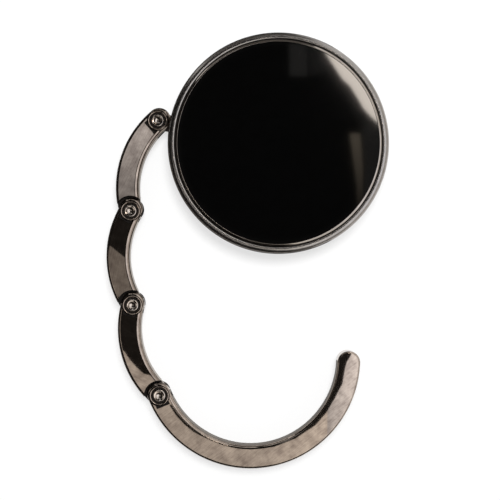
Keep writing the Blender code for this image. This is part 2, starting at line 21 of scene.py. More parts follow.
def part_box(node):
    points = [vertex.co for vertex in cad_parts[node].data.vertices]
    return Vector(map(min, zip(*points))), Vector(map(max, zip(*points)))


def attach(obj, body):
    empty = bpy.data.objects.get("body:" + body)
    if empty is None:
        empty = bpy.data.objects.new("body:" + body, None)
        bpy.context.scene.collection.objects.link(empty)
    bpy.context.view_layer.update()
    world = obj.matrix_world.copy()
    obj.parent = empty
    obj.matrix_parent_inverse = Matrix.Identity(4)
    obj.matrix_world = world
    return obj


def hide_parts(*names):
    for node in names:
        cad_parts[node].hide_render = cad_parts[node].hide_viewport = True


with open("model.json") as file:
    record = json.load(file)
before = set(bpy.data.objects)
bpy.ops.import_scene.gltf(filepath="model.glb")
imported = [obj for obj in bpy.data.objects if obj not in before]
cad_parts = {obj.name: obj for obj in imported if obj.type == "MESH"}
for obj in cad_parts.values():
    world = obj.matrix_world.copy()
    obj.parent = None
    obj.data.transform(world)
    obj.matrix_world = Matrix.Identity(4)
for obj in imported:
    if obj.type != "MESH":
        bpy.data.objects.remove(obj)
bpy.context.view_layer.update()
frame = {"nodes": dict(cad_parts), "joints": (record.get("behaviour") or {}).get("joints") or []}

LOG = logging.getLogger("purse_hook")
MERGE = 1e-6
SHARP_ANGLE = math.radians(35)
LEVEL_NORMAL = 0.5
MM_PER_METRE = 1000
SCREWS = (1, 2, 3)
LINK_BODIES = ("link_1", "link_2", "link_3", "hook")

# How many faces go round a rivet's hole, a shaft or screw hole, and a rivet's seat
BORE_STEPS = 32
SHAFT_STEPS = 48
SEAT_STEPS = 64

Spot = tuple[float, float]
Place = tuple[float, float, float]


def srgb(code: str) -> tuple[float, float, float, float]:
    """Turns an sRGB hex colour into a linear colour.

    Args:
        code: The colour as #RRGGBB.

    Returns:
        Red, green, blue and alpha, linear.
    """
    parts = [int(code[i : i + 2], 16) / 255 for i in (1, 3, 5)]
    linear = [p / 12.92 if p <= 0.04045 else ((p + 0.055) / 1.055) ** 2.4 for p in parts]
    return (linear[0], linear[1], linear[2], 1.0)


def add_node(
    tree: bpy.types.NodeTree, kind: str, sockets: dict[Any, Any], output: str | int = 0, **settings: Any
) -> bpy.types.NodeSocket | None:
    """Adds a shader node.

    Args:
        tree: The node tree to add it to.
        kind: The node's type.
        sockets: A value, or a socket to link from, for each input by name or number.
        output: The name or number of the output that is wanted.
        **settings: The node's own properties.

    Returns:
        That output's socket, or nothing from a node without outputs.
    """
    node = tree.nodes.new(kind)
    for name, value in settings.items():
        setattr(node, name, value)
    for key, value in sockets.items():
        if isinstance(value, bpy.types.NodeSocket):
            tree.links.new(value, node.inputs[key])
        else:
            node.inputs[key].default_value = value
    return node.outputs[output] if node.outputs else None


def new_tree(name: str) -> tuple[bpy.types.Material, bpy.types.NodeTree]:
    """Makes an empty node material.

    Args:
        name: The material's name.

    Returns:
        The material and its node tree.
    """
    material = bpy.data.materials.new(name)
    material.use_nodes = True
    material.node_tree.nodes.clear()
    return material, material.node_tree


def per_metre(millimetres: float) -> float:
    """The scale that gives a pattern features of this many millimetres."""
    return MM_PER_METRE / millimetres


# Finishes


@dataclass(frozen=True)
class PolishedGunmetal:
    """Zinc alloy, copper and black-nickel plated, then buffed.

    The eye sees a warm grey mirror, slightly cloudy, with a hair-fine grain from the buffing wheel. In other
    tones it serves the nickel, the zinc-plated steel and the spring steel too.
    """

    name: str
    tone: str = "#BCAEA1"
    cloud: str = "#85786F"
    roughness: float = 0.015
    grain_turn: float = 0.0
    # Real buffing marks are finer than this, which is as fine as the picture can show
    grain_width: float = 0.16
    grain_length: float = 3.0
    cloud_size: float = 2.2
    depth: float = 0.00000003
    grain_share: float = 0.4
    cloud_share: float = 0.7
    tone_range: tuple[float, float] = (0.38, 0.72)
    roughness_range: tuple[float, float] = (0.8, 1.25)

    def build(self) -> bpy.types.Material:
        """Makes the material.

        Returns:
            The material.
        """
        material, tree = new_tree(self.name)
        place = add_node(tree, "ShaderNodeTexCoord", {}, "Object")
        stretch = (self.grain_length / self.grain_width, 1.0, 1.0)
        along_grain = add_node(
            tree,
            "ShaderNodeMapping",
            {"Vector": place, "Rotation": (0.0, 0.0, self.grain_turn), "Scale": stretch},
            vector_type="TEXTURE",
        )
        grain = add_node(
            tree,
            "ShaderNodeTexNoise",
            {"Vector": along_grain, "Scale": per_metre(self.grain_width), "Detail": 3.0, "Roughness": 0.6},
        )
        clouds = add_node(
            tree,
            "ShaderNodeTexNoise",
            {"Vector": place, "Scale": per_metre(self.cloud_size), "Detail": 4.0, "Roughness": 0.65},
        )
        cloudy = add_node(tree, "ShaderNodeMath", {0: clouds, 1: self.cloud_share}, operation="MULTIPLY")
        both_inputs = {0: grain, 1: self.grain_share, 2: cloudy}
        both = add_node(tree, "ShaderNodeMath", both_inputs, operation="MULTIPLY_ADD")
        dark, light = self.tone_range
        spread = add_node(tree, "ShaderNodeMapRange", {"Value": both, "From Min": dark, "From Max": light})
        colour_inputs = {"Factor": spread, "A": srgb(self.cloud), "B": srgb(self.tone)}
        colour = add_node(tree, "ShaderNodeMix", colour_inputs, "Result", data_type="RGBA")
        smooth, dull = self.roughness_range
        rough_inputs = {"Value": grain, "To Min": self.roughness * smooth, "To Max": self.roughness * dull}
        rough = add_node(tree, "ShaderNodeMapRange", rough_inputs)
        bump = add_node(tree, "ShaderNodeBump", {"Height": grain, "Strength": 1.0, "Distance": self.depth})
        metal_inputs = {"Base Color": colour, "Metallic": 1.0, "Roughness": rough, "Normal": bump}
        metal = add_node(tree, "ShaderNodeBsdfPrincipled", metal_inputs)
        add_node(tree, "ShaderNodeOutputMaterial", {"Surface": metal})
        return material


@dataclass(frozen=True)
class RecessedGunmetal:
    """The same plating, unbuffed and matt, on hollows, gaps and cut faces, made nearly black there as painted
    shade.
    """

    name: str = "gunmetal_recess_painted_shade"
    tone: str = "#2A2522"
    dust: str = "#1A1715"
    metallic: float = 0.6
    roughness: float = 0.55
    speck: float = 0.3

    def build(self) -> bpy.types.Material:
        """Makes the material.

        Returns:
            The material.
        """
        material, tree = new_tree(self.name)
        place = add_node(tree, "ShaderNodeTexCoord", {}, "Object")
        specks_inputs = {"Vector": place, "Scale": per_metre(self.speck), "Detail": 3.0}
        specks = add_node(tree, "ShaderNodeTexNoise", specks_inputs)
        colour_inputs = {"Factor": specks, "A": srgb(self.dust), "B": srgb(self.tone)}
        colour = add_node(tree, "ShaderNodeMix", colour_inputs, "Result", data_type="RGBA")
        plating_inputs = {"Base Color": colour, "Metallic": self.metallic, "Roughness": self.roughness}
        plating = add_node(tree, "ShaderNodeBsdfPrincipled", plating_inputs)
        add_node(tree, "ShaderNodeOutputMaterial", {"Surface": plating})
        return material


@dataclass(frozen=True)
class BlackEnamel:
    """Stoved black enamel under a clear coat: a black mirror with the faintest orange peel."""

    name: str = "black_gloss_enamel"
    tone: str = "#030303"
    wear: str = "#050505"
    roughness: float = 0.04
    ior: float = 1.6
    peel: float = 2.4
    depth: float = 0.0000002

    def build(self) -> bpy.types.Material:
        """Makes the material.

        Returns:
            The material.
        """
        material, tree = new_tree(self.name)
        place = add_node(tree, "ShaderNodeTexCoord", {}, "Object")
        peel_inputs = {"Vector": place, "Scale": per_metre(self.peel), "Detail": 2.0}
        peel = add_node(tree, "ShaderNodeTexNoise", peel_inputs)
        colour_inputs = {"Factor": peel, "A": srgb(self.tone), "B": srgb(self.wear)}
        colour = add_node(tree, "ShaderNodeMix", colour_inputs, "Result", data_type="RGBA")
        bump = add_node(tree, "ShaderNodeBump", {"Height": peel, "Strength": 1.0, "Distance": self.depth})
        enamel_inputs = {"Base Color": colour, "Roughness": self.roughness, "IOR": self.ior, "Normal": bump}
        enamel = add_node(tree, "ShaderNodeBsdfPrincipled", enamel_inputs)
        add_node(tree, "ShaderNodeOutputMaterial", {"Surface": enamel})
        return material


@dataclass(frozen=True)
class MouldedRubber:
    """Black nitrile rubber from a blasted mould: matt, with a fine leathery grain."""

    name: str = "moulded_black_rubber"
    tone: str = "#262524"
    dust: str = "#333130"
    roughness: float = 0.78
    grain: float = 0.45
    depth: float = 0.00002

    def build(self) -> bpy.types.Material:
        """Makes the material.

        Returns:
            The material.
        """
        material, tree = new_tree(self.name)
        place = add_node(tree, "ShaderNodeTexCoord", {}, "Object")
        grain_inputs = {"Vector": place, "Scale": per_metre(self.grain)}
        grain = add_node(tree, "ShaderNodeTexVoronoi", grain_inputs, "Distance")
        colour_inputs = {"Factor": grain, "A": srgb(self.dust), "B": srgb(self.tone)}
        colour = add_node(tree, "ShaderNodeMix", colour_inputs, "Result", data_type="RGBA")
        bump = add_node(tree, "ShaderNodeBump", {"Height": grain, "Strength": 0.5, "Distance": self.depth})
        rubber_inputs = {"Base Color": colour, "Roughness": self.roughness, "Normal": bump}
        rubber = add_node(tree, "ShaderNodeBsdfPrincipled", rubber_inputs)
        add_node(tree, "ShaderNodeOutputMaterial", {"Surface": rubber})
        return material


class Finish(Enum):
    """The finishes that the pieces share."""

    RIM = "rim"
    LIP = "lip"
    UNDERSIDE = "underside"
    RIVET = "rivet"
    STUD = "stud"
    RECESS = "recess"
    FACE = "face"
    PAD = "pad"
    STEEL = "steel"
    SPRING = "spring"
    MAGNET = "magnet"


FINISHES = {
    Finish.RIM: PolishedGunmetal(
        "gunmetal_buffed_rim", "#AAA5A1", "#99948F", 0.24, grain_turn=math.radians(52), grain_width=0.3
    ),
    Finish.LIP: PolishedGunmetal("nickel_bright_lip", "#B3AAA1", "#A1988F", 0.09),
    Finish.UNDERSIDE: PolishedGunmetal("gunmetal_satin_underside", "#9D928A", "#857B74", 0.3),
    Finish.RIVET: PolishedGunmetal("gunmetal_rolled_rivet", "#D3C9C0", "#BBAFA5", 0.11),
    # Satin, and dark as painted shade for the stud's neck, which lies low in the rim's shadow
    Finish.STUD: PolishedGunmetal(
        "gunmetal_stud_dark_painted_shade", "#564E48", "#332E2A", 0.22, grain_turn=math.radians(80)
    ),
    # Nearly black as painted shade, for hollows, gaps and cut faces
    Finish.RECESS: RecessedGunmetal(),
    Finish.FACE: BlackEnamel(),
    Finish.PAD: MouldedRubber(),
    Finish.STEEL: PolishedGunmetal("zinc_plated_steel", "#C4C4C0", "#A9AAA8", 0.28, grain_width=0.25),
    Finish.SPRING: PolishedGunmetal("spring_steel_strip", "#A2A2A6", "#8A8A90", 0.25),
    Finish.MAGNET: PolishedGunmetal("magnet_nickel_plate", "#CFCCC6", "#BDBAB5", 0.15),
}


# Shapes


@dataclass(frozen=True)
class Corner:
    """One corner of a turned profile, and the radius that rounds it."""

    radius: float
    height: float
    rounding: float = 0.0


class Solid:
    """A mesh being shaped, before it becomes a piece."""

    def __init__(self) -> None:
        """Starts with nothing."""
        self.bm = bmesh.new()

    def clean(self) -> "Solid":
        """Closes seams and poles, and points the faces outwards.

        Returns:
            The solid.
        """
        bmesh.ops.remove_doubles(self.bm, verts=self.bm.verts, dist=MERGE)
        bmesh.ops.dissolve_degenerate(self.bm, dist=MERGE, edges=self.bm.edges)
        bmesh.ops.recalc_face_normals(self.bm, faces=self.bm.faces)
        return self

    def moved(self, matrix: Matrix) -> "Solid":
        """Moves the solid by a matrix and returns it."""
        bmesh.ops.transform(self.bm, matrix=matrix, verts=self.bm.verts)
        return self

    def rounded(self, edges: list[bmesh.types.BMEdge], radius: float, segments: int) -> "Solid":
        """Rounds edges.

        Args:
            edges: The edges to round.
            radius: The rounding's radius.
            segments: How many faces cross it.

        Returns:
            The solid.
        """
        bmesh.ops.bevel(
            self.bm,
            geom=edges,
            offset=radius,
            segments=segments,
            profile=0.5,
            affect="EDGES",
            material=-1,
            clamp_overlap=True,
        )
        return self

    def painted(self, index: int, inside: Callable[[Vector], bool]) -> "Solid":
        """Gives another material to some of the faces.

        Args:
            index: The material's index on the piece.
            inside: Tells from a face's middle whether the face takes it.

        Returns:
            The solid.
        """
        for face in self.bm.faces:
            if inside(face.calc_center_median()):
                face.material_index = index
        return self

    def object(self, name: str, materials: list[bpy.types.Material]) -> bpy.types.Object:
        """Turns the solid into an object in the scene.

        Args:
            name: The object's name.
            materials: Its materials, in the order of its faces' indices.

        Returns:
            The object, at the origin.
        """
        mesh = bpy.data.meshes.new(name)
        self.bm.to_mesh(mesh)
        self.bm.free()
        for material in materials:
            mesh.materials.append(material)
        piece = bpy.data.objects.new(name, mesh)
        bpy.context.scene.collection.objects.link(piece)
        return piece


class Plane(Enum):
    """Which plane a pen draws in."""

    FLAT = "flat"
    UPRIGHT = "upright"


class Pen:
    """Draws an outline by moving one point: in the XY plane, or in the XZ plane for a turned profile."""

    def __init__(self, start: Spot, plane: Plane, level: float = 0.0) -> None:
        """Puts the pen down.

        Args:
            start: Where the outline starts.
            plane: The plane that it is drawn in.
            level: The height of a flat outline.
        """
        self.solid = Solid()
        self.plane = plane
        self.level = level
        self.tip = self.solid.bm.verts.new(self.at(start))
        self.first = self.tip

    def at(self, point: Spot) -> Vector:
        """The place in space of a point of the plane."""
        across, along = point
        return Vector((across, along, self.level) if self.plane is Plane.FLAT else (across, 0.0, along))

    def line(self, *points: Spot) -> "Pen":
        """Draws straight to each point in turn.

        Args:
            *points: The points.

        Returns:
            The pen.
        """
        for point in points:
            following = self.solid.bm.verts.new(self.at(point))
            self.solid.bm.edges.new((self.tip, following))
            self.tip = following
        return self

    def swing(self, centre: Spot, angle: float, steps: int) -> "Pen":
        """Swings round a centre.

        Args:
            centre: The centre.
            angle: How far to swing, anticlockwise if it is more than nothing.
            steps: How many edges the swing takes.

        Returns:
            The pen.
        """
        made = bmesh.ops.spin(
            self.solid.bm,
            geom=[self.tip],
            cent=self.at(centre),
            axis=(0, 0, 1) if self.plane is Plane.FLAT else (0, -1, 0),
            angle=angle,
            steps=steps,
            use_merge=False,
        )
        self.tip = next(g for g in made["geom_last"] if isinstance(g, bmesh.types.BMVert))
        return self

    def closed(self) -> "Pen":
        """Joins the outline's end to its start and returns the pen."""
        if (self.tip.co - self.first.co).length > MERGE:
            self.solid.bm.edges.new((self.tip, self.first))
        return self

    def turned(self, steps: int) -> Solid:
        """Turns an upright profile about Z.

        Args:
            steps: How many faces go round.

        Returns:
            The turned solid.
        """
        bm = self.solid.bm
        bmesh.ops.spin(
            bm,
            geom=bm.verts[:] + bm.edges[:],
            cent=(0, 0, 0),
            axis=(0, 0, 1),
            angle=2 * math.pi,
            steps=steps,
            use_merge=True,
        )
        return self.solid.clean()

    def raised(self, height: float) -> Solid:
        """Closes a flat outline and raises it.

        Args:
            height: How high the solid stands.

        Returns:
            The raised solid.
        """
        bm = self.closed().solid.bm
        bmesh.ops.remove_doubles(bm, verts=bm.verts, dist=MERGE)
        bmesh.ops.contextual_create(bm, geom=bm.edges[:])
        made = bmesh.ops.extrude_face_region(bm, geom=bm.faces[:])
        top = [g for g in made["geom"] if isinstance(g, bmesh.types.BMVert)]
        bmesh.ops.translate(bm, verts=top, vec=(0, 0, height))
        return self.solid.clean()


def turned(corners: list[Corner], steps: int, closed: bool = False, segments: int = 4) -> Solid:
    """Turns a profile of corners about Z.

    Args:
        corners: The profile's corners, in order.
        steps: How many faces go round.
        closed: Whether the profile closes on itself, as a ring's does.
        segments: How many faces cross each rounded corner.

    Returns:
        The turned solid.
    """
    pen = Pen((corners[0].radius, corners[0].height), Plane.UPRIGHT)
    pen.line(*((c.radius, c.height) for c in corners[1:]))
    solid = (pen.closed() if closed else pen).turned(steps)
    for corner in corners:
        if corner.rounding:
            ring = [e for e in solid.bm.edges if all(on_ring(v.co, corner) for v in e.verts)]
            solid.rounded(ring, corner.rounding, segments)
    return solid


def on_ring(point: Vector, corner: Corner) -> bool:
    """Whether a point lies on the circle that a profile's corner turns."""
    return abs(point.xy.length - corner.radius) < MERGE and abs(point.z - corner.height) < MERGE


def rod(
    radius: float, low: float, high: float, steps: int, head_round: float = 0.0, foot_round: float = 0.0
) -> Solid:
    """A cylinder or a flat disc about Z.

    Args:
        radius: Its radius.
        low: The height of its foot.
        high: The height of its head.
        steps: How many faces go round.
        head_round: The rounding of its upper edge.
        foot_round: The rounding of its lower edge.

    Returns:
        The rod.
    """
    head, foot = Corner(radius, high, head_round), Corner(radius, low, foot_round)
    return turned([Corner(0.0, high), head, foot, Corner(0.0, low)], steps)


def block(low: Place, high: Place) -> Solid:
    """A box between two corners.

    Args:
        low: The corner with the smallest coordinates.
        high: The corner with the largest.

    Returns:
        The box.
    """
    solid = Solid()
    size = Matrix.Diagonal((*(Vector(high) - Vector(low)), 1.0))
    middle = Matrix.Translation((Vector(low) + Vector(high)) / 2)
    bmesh.ops.create_cube(solid.bm, size=1.0, matrix=middle @ size)
    return solid


def band(low: float, high: float, first: float, last: float, steps: int) -> list[Spot]:
    """The outline of a curved band round the origin.

    Args:
        low: Its smaller radius.
        high: Its larger radius.
        first: The bearing of one end.
        last: The bearing of the other end.
        steps: How many edges each of its two arcs has.

    Returns:
        The outline's points, in order.
    """
    spots = []
    for radius, begin, end in ((low, first, last), (high, last, first)):
        for step in range(steps + 1):
            bearing = begin + (end - begin) * step / steps
            spots.append((radius * math.cos(bearing), radius * math.sin(bearing)))
    return spots


def flat_rims(solid: Solid) -> list[bmesh.types.BMEdge]:
    """The edges round an extruded solid's lower and upper faces."""
    caps = [f for f in solid.bm.faces if abs(f.normal.z) > LEVEL_NORMAL]
    return list({e for f in caps for e in f.edges})


def stand_of(node: str) -> tuple[Matrix, float]:
    """Where an upright round CAD node stands.

    Args:
        node: The node's name.

    Returns:
        The move in plan from the disc's axis to the node's, and the node's radius.
    """
    low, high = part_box(node)
    middle = (low + high) / 2
    return Matrix.Translation((middle.x, middle.y, 0)), (high.x - low.x) / 2


def carve(piece: bpy.types.Object, cutters: list[bpy.types.Object]) -> None:
    """Cuts solids out of a piece. Each cut face takes the cutter's material.

    Args:
        piece: The piece to cut.
        cutters: The solids to take away, which are deleted afterwards.
    """
    for cutter in cutters:
        step = piece.modifiers.new(cutter.name, "BOOLEAN")
        step.object = cutter
        step.operation = "DIFFERENCE"
        step.solver = "EXACT"
        step.material_mode = "TRANSFER"
    graph = bpy.context.evaluated_depsgraph_get()
    mesh = bpy.data.meshes.new_from_object(piece.evaluated_get(graph))
    piece.modifiers.clear()
    piece.data = mesh
    for cutter in cutters:
        bpy.data.objects.remove(cutter, do_unlink=True)


def absorb(piece: bpy.types.Object, other: Solid, material: int) -> None:
    """Adds a separate shell to a piece's mesh.

    Args:
        piece: The piece that takes it in.
        other: The shell.
        material: The index of the shell's material on the piece.
    """
    for face in other.bm.faces:
        face.material_index = material
    shell = bpy.data.meshes.new("shell")
    other.bm.to_mesh(shell)
    other.bm.free()
    bm = bmesh.new()
    bm.from_mesh(piece.data)
    bm.from_mesh(shell)
    bm.to_mesh(piece.data)
    bm.free()
    bpy.data.meshes.remove(shell)


class Workshop:
    """Keeps the materials and hands finished pieces to the frame."""

    def __init__(self) -> None:
        """Builds the shared finishes."""
        self.materials = {finish: recipe.build() for finish, recipe in FINISHES.items()}

    def dressed(self, *finishes: Finish) -> list[bpy.types.Material]:
        """The materials of some finishes."""
        return [self.materials[f] for f in finishes]

    def hand_over(self, piece: bpy.types.Object, body: str, node: str) -> None:
        """Smooths a finished piece, and lets it stand for its CAD node.

        Args:
            piece: The finished piece, in place in the row frame.
            body: The body that it moves with.
            node: The CAD node that it stands for.
        """
        piece.data.shade_smooth()
        piece.data.set_sharp_from_angle(angle=SHARP_ANGLE)
        flat = piece.modifiers.new("flat_faces_stay_flat", "WEIGHTED_NORMAL")
        flat.keep_sharp = True
        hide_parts(node)
        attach(piece, body)
        LOG.info("%s: %d faces, rides on %s", piece.name, len(piece.data.polygons), body)

    def coat_node(self, node: str, finish: Finish) -> None:
        """Gives a CAD node that keeps its own shape a better material.

        Args:
            node: The node's name.
            finish: The finish that it gets.
        """
        piece = frame["nodes"][node]
        piece.data.materials.clear()
        piece.data.materials.append(self.materials[finish])
        LOG.info("%s: keeps its CAD shape, in %s", node, self.materials[finish].name)


# Disc


@dataclass
class DiscCover:
    """The round flange with its raised, rounded rim."""

    radius: float = 0.0225
    inner: float = 0.02104
    crest: float = 0.02144
    outer_crown: float = 0.00106
    inner_crown: float = 0.00041
    bottom: float = 0.0066
    floor: float = 0.0077
    top: float = 0.0094
    foot_round: float = 0.0004
    inner_steps: int = 8
    outer_steps: int = 14
    foot_steps: int = 6
    steps: int = 192
    seat_spare: float = 0.00005
    shank_radius: float = 0.00125

    def build(self, shop: Workshop) -> None:
        """Turns the flange, then cuts the holes of the standoffs and the magnet's seat.

        Args:
            shop: The workshop that dresses it.
        """
        lean = math.asin((self.crest - self.inner) / self.inner_crown)
        shoulder = self.top - self.inner_crown * (1 - math.cos(lean))
        foot = (self.radius - self.foot_round, self.bottom + self.foot_round)
        pen = Pen((0.0, self.floor), Plane.UPRIGHT).line((self.inner, self.floor), (self.inner, shoulder))
        pen.swing((self.crest, self.top - self.inner_crown), -lean, self.inner_steps)
        pen.swing((self.crest, self.top - self.outer_crown), -math.pi / 2, self.outer_steps)
        pen.line((self.radius, foot[1])).swing(foot, -math.pi / 2, self.foot_steps).line((0.0, self.bottom))
        solid = pen.turned(self.steps)
        # Painted shade: the floor inside the rim, seen in the gap by the tray, and the holes' walls take the
        # nearly black recess finish
        solid.painted(1, lambda p: p.xy.length < self.inner and p.z > self.bottom + MERGE)
        piece = solid.object("disc_cover", shop.dressed(Finish.RIM, Finish.RECESS))
        cutters = []
        for name in ("standoff_1", "standoff_2", "standoff_3", "keeper_magnet"):
            stand, node_radius = stand_of(name)
            radius, top = self.shank_radius, self.top
            if name == "keeper_magnet":
                radius, top = node_radius + self.seat_spare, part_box(name)[1].z + self.seat_spare
            hole = rod(radius, self.bottom - self.foot_round, top, SHAFT_STEPS).moved(stand)
            cutters.append(hole.object(f"cut_{name}", shop.dressed(Finish.RECESS)))
        carve(piece, cutters)
        shop.hand_over(piece, "root", "cover_disc")


@dataclass
class Inlay:
    """The thin tray whose lip shows as a bright line, and the black face inside it."""

    tray_radius: float = 0.02093
    lip_width: float = 0.00043
    tray_bottom: float = 0.00775
    tray_thickness: float = 0.0004
    lip_top: float = 0.0095
    lip_foot: float = 0.00937
    lip_flat: float = 0.00008
    lip_round: float = 0.00003
    face_edge: float = 0.00935
    face_crown: float = 0.00003
    face_round: float = 0.00004
    face_gap: float = 0.00001
    seat_gap: float = 0.00005
    dome_steps: int = 8
    round_segments: int = 3
    steps: int = 192

    def build_tray(self, shop: Workshop) -> None:
        """Turns the tray and its rolled lip.

        Args:
            shop: The workshop that dresses it.
        """
        inner = self.tray_radius - self.lip_width
        floor = self.tray_bottom + self.tray_thickness
        corners = [
            Corner(0.0, floor),
            Corner(inner, floor),
            Corner(inner, self.lip_top, self.lip_round),
            Corner(inner + self.lip_flat, self.lip_top, self.lip_round),
            Corner(self.tray_radius, self.lip_foot, self.lip_round),
            Corner(self.tray_radius, self.tray_bottom),
            Corner(0.0, self.tray_bottom),
        ]
        solid = turned(corners, self.steps, segments=self.round_segments)
        # Painted shade: the tray's wall below the lip, seen in the gap by the rim, takes the nearly black
        # recess finish
        solid.painted(1, lambda p: p.z < self.lip_foot - self.lip_round)
        piece = solid.object("tray_with_lip", shop.dressed(Finish.LIP, Finish.RECESS))
        shop.hand_over(piece, "root", "inlay_tray")

    def build_face(self, shop: Workshop) -> None:
        """Turns the enamelled face, a touch higher in the middle, with a soft edge.

        Args:
            shop: The workshop that dresses it.
        """
        radius = self.tray_radius - self.lip_width - self.face_gap
        bottom = self.tray_bottom + self.tray_thickness + self.seat_gap
        dome_radius = radius**2 / (2 * self.face_crown)
        crown = self.face_edge + self.face_crown
        pen = Pen((0.0, crown), Plane.UPRIGHT)
        pen.swing((0.0, crown - dome_radius), -radius / dome_radius, self.dome_steps)
        solid = pen.line((pen.tip.co.x, bottom), (0.0, bottom)).turned(self.steps)
        rim = [e for e in solid.bm.edges if all(v.co.xy.length > radius - 2 * MERGE for v in e.verts)]
        rim = [e for e in rim if all(v.co.z > bottom + self.seat_gap for v in e.verts)]
        solid.rounded(rim, self.face_round, self.round_segments)
        piece = solid.object("black_face", shop.dressed(Finish.FACE))
        shop.hand_over(piece, "root", "inlay_face")


# Swivel


@dataclass
class Swivel:
    """The stud that leaves the disc under its rim, and the barrel that it turns in.

    Lengths run along the stud's line from the first pivot towards the disc's axis.
    """

    pivot: Vector
    outward: Vector
    tongue_half: float = 0.0008
    eye_radius: float = 0.0022
    neck_half: float = 0.0017
    shaft_radius: float = 0.00105
    groove_radius: float = 0.00075
    groove: tuple[float, float] = (0.01482, 0.01542)
    stud_end: float = 0.01622
    collar_radius: float = 0.0017
    collar: tuple[float, float] = (0.00305, 0.0039)
    barrel_radius: float = 0.002
    barrel: tuple[float, float] = (0.00397, 0.0143)
    rivet_hole: float = 0.00097
    turn_gap: float = 0.00007
    seat_gap: float = 0.00005
    edge: float = 0.0001
    eye_steps: int = 40
    edge_segments: int = 3
    channel: tuple[float, float] = (0.0112, 0.0148)
    pocket: tuple[Place, Place] = ((0.0143, -0.0022, -0.0026), (0.01652, 0.0022, 0.0022))

    @property
    def line(self) -> Matrix:
        """The frame at the first pivot with +X towards the disc's axis."""
        bearing = math.atan2(-self.outward.y, -self.outward.x)
        return Matrix.Translation(self.pivot) @ Matrix.Rotation(bearing, 4, "Z")

    @property
    def along(self) -> Matrix:
        """Turns a solid about Z into one about the stud's line."""
        return self.line @ Matrix.Rotation(math.pi / 2, 4, "Y")

    def build_stud(self, shop: Workshop) -> None:
        """Turns the shaft and collar, and joins the flat neck and its eye to them.

        Args:
            shop: The workshop that dresses it.
        """
        near, far = self.groove
        corners = [
            Corner(0.0, self.stud_end),
            Corner(self.shaft_radius, self.stud_end, self.edge),
            Corner(self.shaft_radius, far),
            Corner(self.groove_radius, far),
            Corner(self.groove_radius, near),
            Corner(self.shaft_radius, near),
            Corner(self.shaft_radius, self.collar[1]),
            Corner(self.collar_radius, self.collar[1], self.edge),
            Corner(self.collar_radius, self.collar[0], self.edge),
            Corner(0.0, self.collar[0]),
        ]
        shaft = turned(corners, SHAFT_STEPS).moved(self.along)
        # Painted shade: the shaft and collar take the dark stud finish
        piece = shaft.object("stud", shop.dressed(Finish.STUD, Finish.RECESS))
        neck_end = (self.collar[0] + self.collar[1]) / 2
        half = self.neck_half
        begin = math.sqrt(self.eye_radius**2 - half**2)
        pen = Pen((begin, half), Plane.FLAT, -self.tongue_half)
        pen.swing((0, 0), 2 * math.pi - 2 * math.atan2(half, begin), self.eye_steps)
        lug = pen.line((neck_end, -half), (neck_end, half)).raised(2 * self.tongue_half)
        lug.rounded(flat_rims(lug), self.edge, self.edge_segments)
        lug.moved(self.line)
        # Painted shade: the neck and eye take the dark stud finish
        lug_piece = lug.object("lug", shop.dressed(Finish.STUD))
        step = piece.modifiers.new("lug", "BOOLEAN")
        step.object = lug_piece
        step.operation = "UNION"
        step.solver = "EXACT"
        # Painted shade: the hole's wall takes the nearly black recess finish
        hole = rod(self.rivet_hole, -self.eye_radius, self.eye_radius, BORE_STEPS).moved(self.line)
        carve(piece, [hole.object("cut_stud_hole", shop.dressed(Finish.RECESS))])
        bpy.data.objects.remove(lug_piece, do_unlink=True)
        shop.hand_over(piece, "swivel", "swivel_stud")

    def build_barrel(self, shop: Workshop) -> None:
        """Turns the barrel.

        Args:
            shop: The workshop that dresses it.
        """
        near, far = self.barrel
        bore = self.shaft_radius + self.turn_gap
        corners = [
            Corner(bore, near, self.edge),
            Corner(self.barrel_radius, near, self.edge),
            Corner(self.barrel_radius, far),
            Corner(bore, far),
        ]
        tube = turned(corners, SEAT_STEPS, closed=True).moved(self.along)
        piece = tube.object("barrel", shop.dressed(Finish.UNDERSIDE))
        shop.hand_over(piece, "root", "swivel_barrel")


# Hub and base


